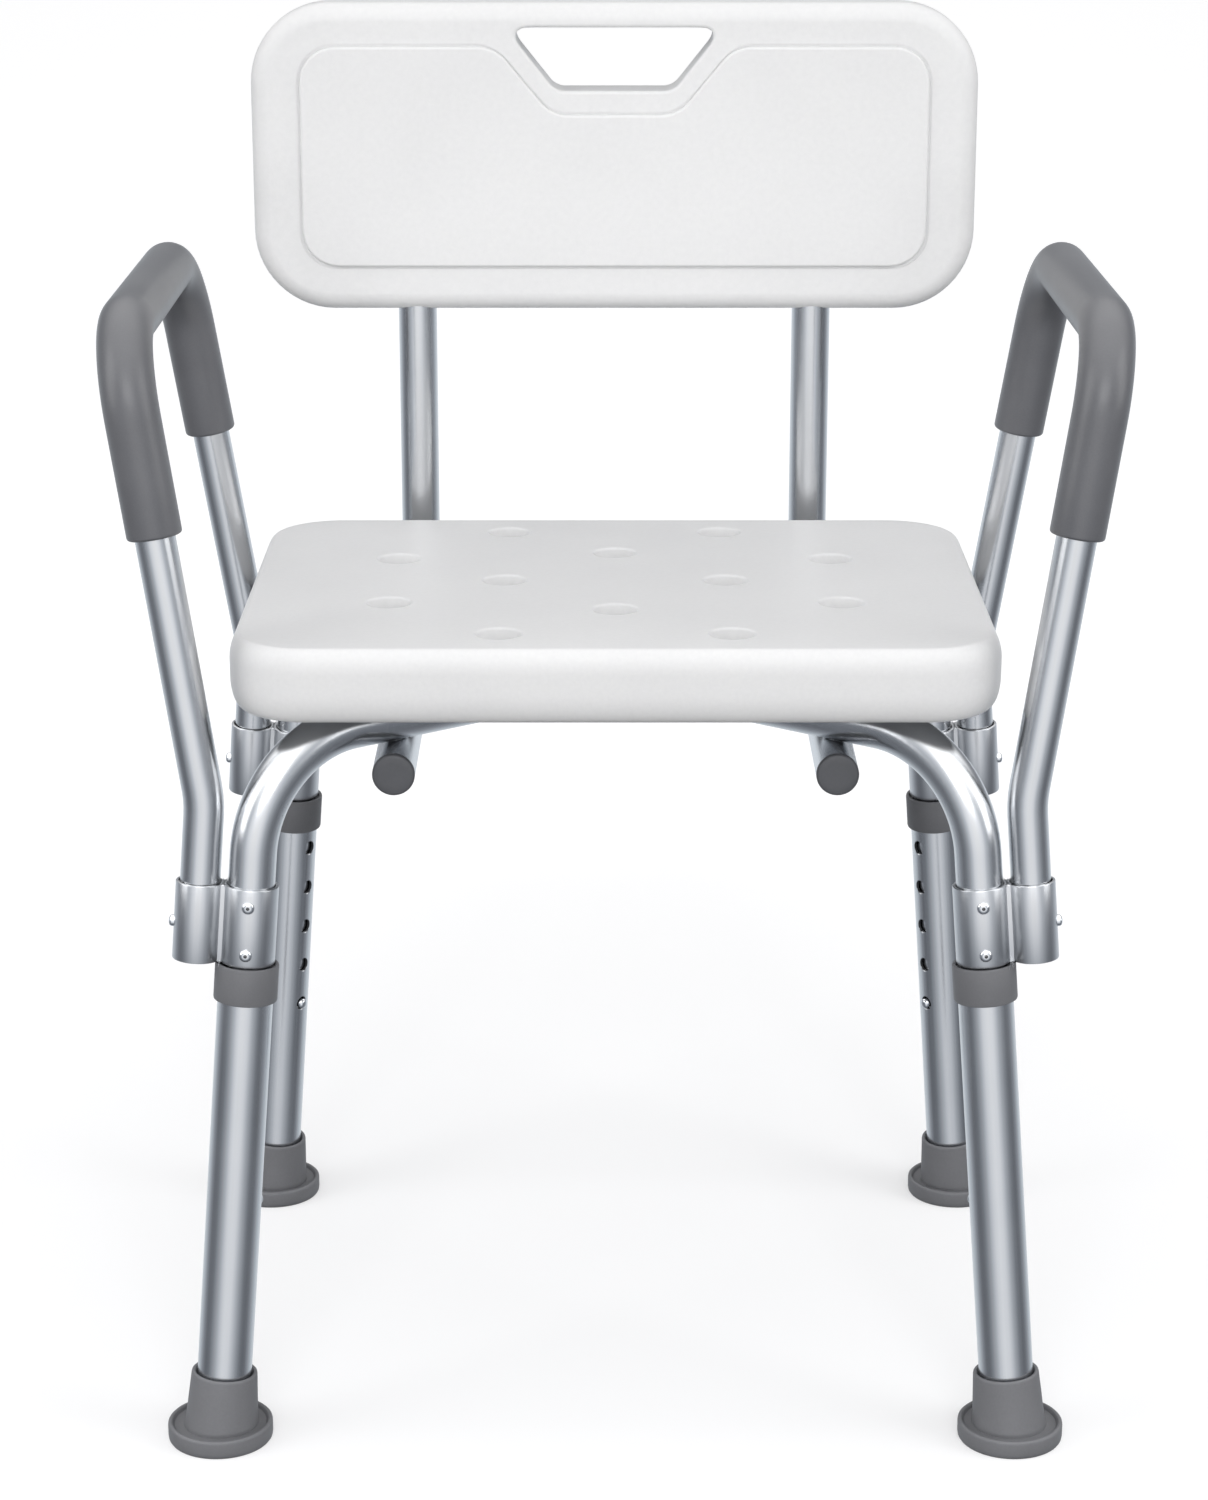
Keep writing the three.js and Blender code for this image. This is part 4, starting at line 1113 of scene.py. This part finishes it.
def roll_edges(piece, axis, corner, roll):
    """Rounds a slab's corners along its thickness axis, then the two rims of its faces."""
    round_edges(piece, lambda a, b: abs(a[axis] - b[axis]) > 1 * MM, corner, 14)
    heights = [vertex.co[axis] for vertex in piece.data.vertices]
    round_edges(piece, lambda a, b: abs(a[axis] - b[axis]) < 1e-6 and any(
        abs(a[axis] - face) < 1e-6 for face in (min(heights), max(heights))), roll, 9)


def drain_cutter(place):
    """A funnel moulded through the seat: a rounded lip, a flared throat and a round outlet."""
    top = SEAT_HIGH.z - SEAT_LOW.z
    outlet = rings_mm((0, -1), (10.4, -1), (10.4, -0.06), (9.6, 0.2), (8.9, 0.9), (8.4, 2.4))
    lip = rings_mm(
        (8.4, -14.0), (9.2, -10.0), (10.4, -5.0), (11.4, -1.3), (11.7, -0.7), (12.1, -0.3),
        (12.6, -0.05), (13.2, 0.06), (13.2, 1), (0, 1), base=top)
    shaft = turned("drain", outlet + lip, 40)
    shaft.data.transform(Matrix.Translation(
        (place[0] * MM, CHAIR_Y + place[1] * MM, SEAT_LOW.z)))
    return shaft


def white_polyethylene(name, grain, depth, gloss=0.28):
    """Satin white blow moulding: a pebbled skin and a trace of cloud in the wall."""
    skin = Finish(
        bpy.data.materials.new(name), Base_Color=(0.78, 0.78, 0.79, 1), Roughness=0.4,
        Specular_IOR_Level=gloss, Subsurface_Weight=0.06, Subsurface_Radius=(0.004, 0.004, 0.0035))
    place = skin.add("TexCoord", output=3)
    pebble = skin.add("TexNoise", Vector=place, Scale=grain, Detail=3.0, Roughness=0.55)
    wall = skin.add("TexNoise", Vector=place, Scale=14.0, Detail=3.0)
    tone = skin.add("ValToRGB", {"stops": [
        (0.3, (0.757, 0.757, 0.763)), (0.7, (0.803, 0.803, 0.806))]}, Fac=pebble * 0.55 + wall * 0.45)
    relief = pebble * 0.6 + wall * 0.4
    bump = skin.add("Bump", Height=relief, Strength=depth, Distance=0.0006)
    skin.feed(Base_Color=tone, Normal=bump, Roughness=0.3 + pebble * 0.14 + wall * 0.1)
    return skin.owner


seat = slab("seat_moulding", SEAT_LOW, SEAT_HIGH)
roll_edges(seat, 2, SEAT_CORNER, SEAT_ROLL)
for edge_z, fullness in ((SEAT_HIGH.z, TOP_FULLNESS), (SEAT_LOW.z, UNDER_FULLNESS)):
    edit(seat, "VERT")
    mesh = bmesh.from_edit_mesh(seat.data)
    for vertex in mesh.verts:
        vertex.select_set(abs(vertex.co.z - edge_z) < SEAT_ROLL + 0.01 * MM)
    bmesh.update_edit_mesh(seat.data)
    bpy.ops.transform.resize(value=(1, 1, fullness), center_override=(0, 0, edge_z))
    clear()
for place in DRAIN_PLACES:
    carve(seat, drain_cutter(place))
smooth(seat, 30)
refine(seat, "WEIGHTED_NORMAL", keep_sharp=True)
seat.data.materials.append(white_polyethylene("white seat polyethylene", 420.0, 0.06))
# The downward faces take a copy of the seat finish with no gloss and a deeper bump: painted shade that
# darkens the underside.
seat.data.materials.append(white_polyethylene("seat underside painted as shade", 420.0, 0.2, gloss=0.0))
for face in seat.data.polygons:
    if face.normal.z < -0.9:
        face.material_index = 1
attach(seat, "frame")
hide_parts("seat")

# ---- Backrest -------------------------------------------------------------------------
# A second white blow moulding with a rolled rim, a raised panel in a shallow groove that
# dips below the handle slot, and the slot to carry the chair by. It is finely pebbled.

BACK_LOW, BACK_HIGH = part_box("backrest")
BACK_CORNER = 46 * MM
BACK_ROLL = 10.5 * MM
PANEL_RISE = 2.2 * MM
PANEL_GROOVE = 1.3 * MM
GROOVE_DEPTH = 0.9 * MM
PANEL_HALF_WIDTH = 180 * MM
BACK_FACE = BACK_LOW.y + PANEL_RISE
BACK_MIDDLE_Z = (BACK_LOW.z + BACK_HIGH.z) / 2
PANEL_LOW_Z = BACK_MIDDLE_Z - 62 * MM
PANEL_HIGH_Z = BACK_MIDDLE_Z + 63.5 * MM
DIP_LOW_Z = BACK_MIDDLE_Z + 25 * MM
SLOT_LOW_Z = BACK_MIDDLE_Z + 38.5 * MM
SLOT_HIGH_Z = BACK_MIDDLE_Z + 74 * MM
SLOT_MIDDLE_Z = BACK_MIDDLE_Z + 56 * MM


def trapezoid(name, top, bottom, top_half, bottom_half, front, back):
    """A block standing across the backrest, narrower at its foot."""
    block = slab(name, Vector((-top_half, front, bottom)), Vector((top_half, back, top)))
    edit(block)
    pick_edges(block, lambda a, b: a.z < bottom + 1e-6 and b.z < bottom + 1e-6)
    bpy.ops.transform.resize(value=(bottom_half / top_half, 1, 1), center_override=(0, front, bottom))
    clear()
    return block


def panel_block(spread, front, back):
    """The outline of the panel with its dip, wider all round by the spread."""
    half = PANEL_HALF_WIDTH + spread
    low = PANEL_LOW_Z - spread
    high = PANEL_HIGH_Z + spread
    panel = slab("panel", Vector((-half, front, low)), Vector((half, back, high)))
    dip = trapezoid(
        "dip", high + 3 * MM - spread, DIP_LOW_Z + spread, 70.8 * MM - spread * 0.45,
        36.2 * MM - spread * 0.45, front - 5 * MM, back + 20 * MM)
    carve(panel, dip)
    for reach, near, offset in ((200 * MM, 100 * MM, 21 * MM), (100 * MM, 0, 9 * MM)):
        round_edges(
            panel, lambda a, b: abs(a.y - b.y) > 1 * MM and near < abs(a.x) < reach, offset, 10)
    return panel


def raised_panel():
    front = BACK_LOW.y
    panel = panel_block(0, front, front + 8 * MM)
    round_edges(
        panel, lambda a, b: abs(a.y - front) < 1e-6 and abs(b.y - front) < 1e-6, 1.7 * MM, 4)
    return panel


def handle_slot():
    slot = trapezoid(
        "slot", SLOT_HIGH_Z, SLOT_LOW_Z, 62.1 * MM, 33.6 * MM,
        BACK_LOW.y - 10 * MM, BACK_HIGH.y + 10 * MM)
    for far, near, offset in ((80 * MM, 50 * MM, 13 * MM), (50 * MM, 0, 5 * MM)):
        round_edges(
            slot, lambda a, b: abs(a.y - b.y) > 1 * MM and near < abs(a.x) < far, offset, 8)
    return slot


def at_mouth(a, b):
    """Whether an edge lies round the slot, on the front or the back."""
    near = all(abs(p.x) < 62 * MM and abs(p.z - SLOT_MIDDLE_Z) < 18.5 * MM for p in (a, b))
    return near and any(
        abs(a.y - face) < 1e-5 and abs(b.y - face) < 1e-5 for face in (BACK_FACE, BACK_HIGH.y))


backrest = slab(
    "backrest_moulding", Vector((BACK_LOW.x, BACK_FACE, BACK_LOW.z)), BACK_HIGH)
roll_edges(backrest, 1, BACK_CORNER, BACK_ROLL)
carve(backrest, handle_slot())
round_edges(backrest, at_mouth, 2.1 * MM, 5)
carve(backrest, panel_block(PANEL_GROOVE, BACK_FACE - 3 * MM, BACK_FACE + GROOVE_DEPTH))
carve(backrest, raised_panel(), "UNION")
for side in (-1, 1):
    socket = barrel(BACK_RADIUS + 0.35 * MM, 0, 0, 153 * MM, 56)
    socket.data.transform(Matrix.Translation((side * BACK_X, UPRIGHT_Y, BACK_LOW.z - 2 * MM)))
    carve(backrest, socket)
for name in SCREW_PLACES:
    low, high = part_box(f"backrest_screw_{name}")
    middle = (low + high) / 2
    bore = barrel(5.8 * MM, 0, 0, 6 * MM, 40)
    bore.data.transform(
        Matrix.Translation((middle.x, BACK_HIGH.y - 3 * MM, middle.z)) @ BACKWARDS)
    carve(backrest, bore)
smooth(backrest, 30)
refine(backrest, "WEIGHTED_NORMAL", keep_sharp=True)
backrest.data.materials.append(white_polyethylene("white backrest polyethylene", 300.0, 0.2))
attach(backrest, "frame")
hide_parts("backrest")
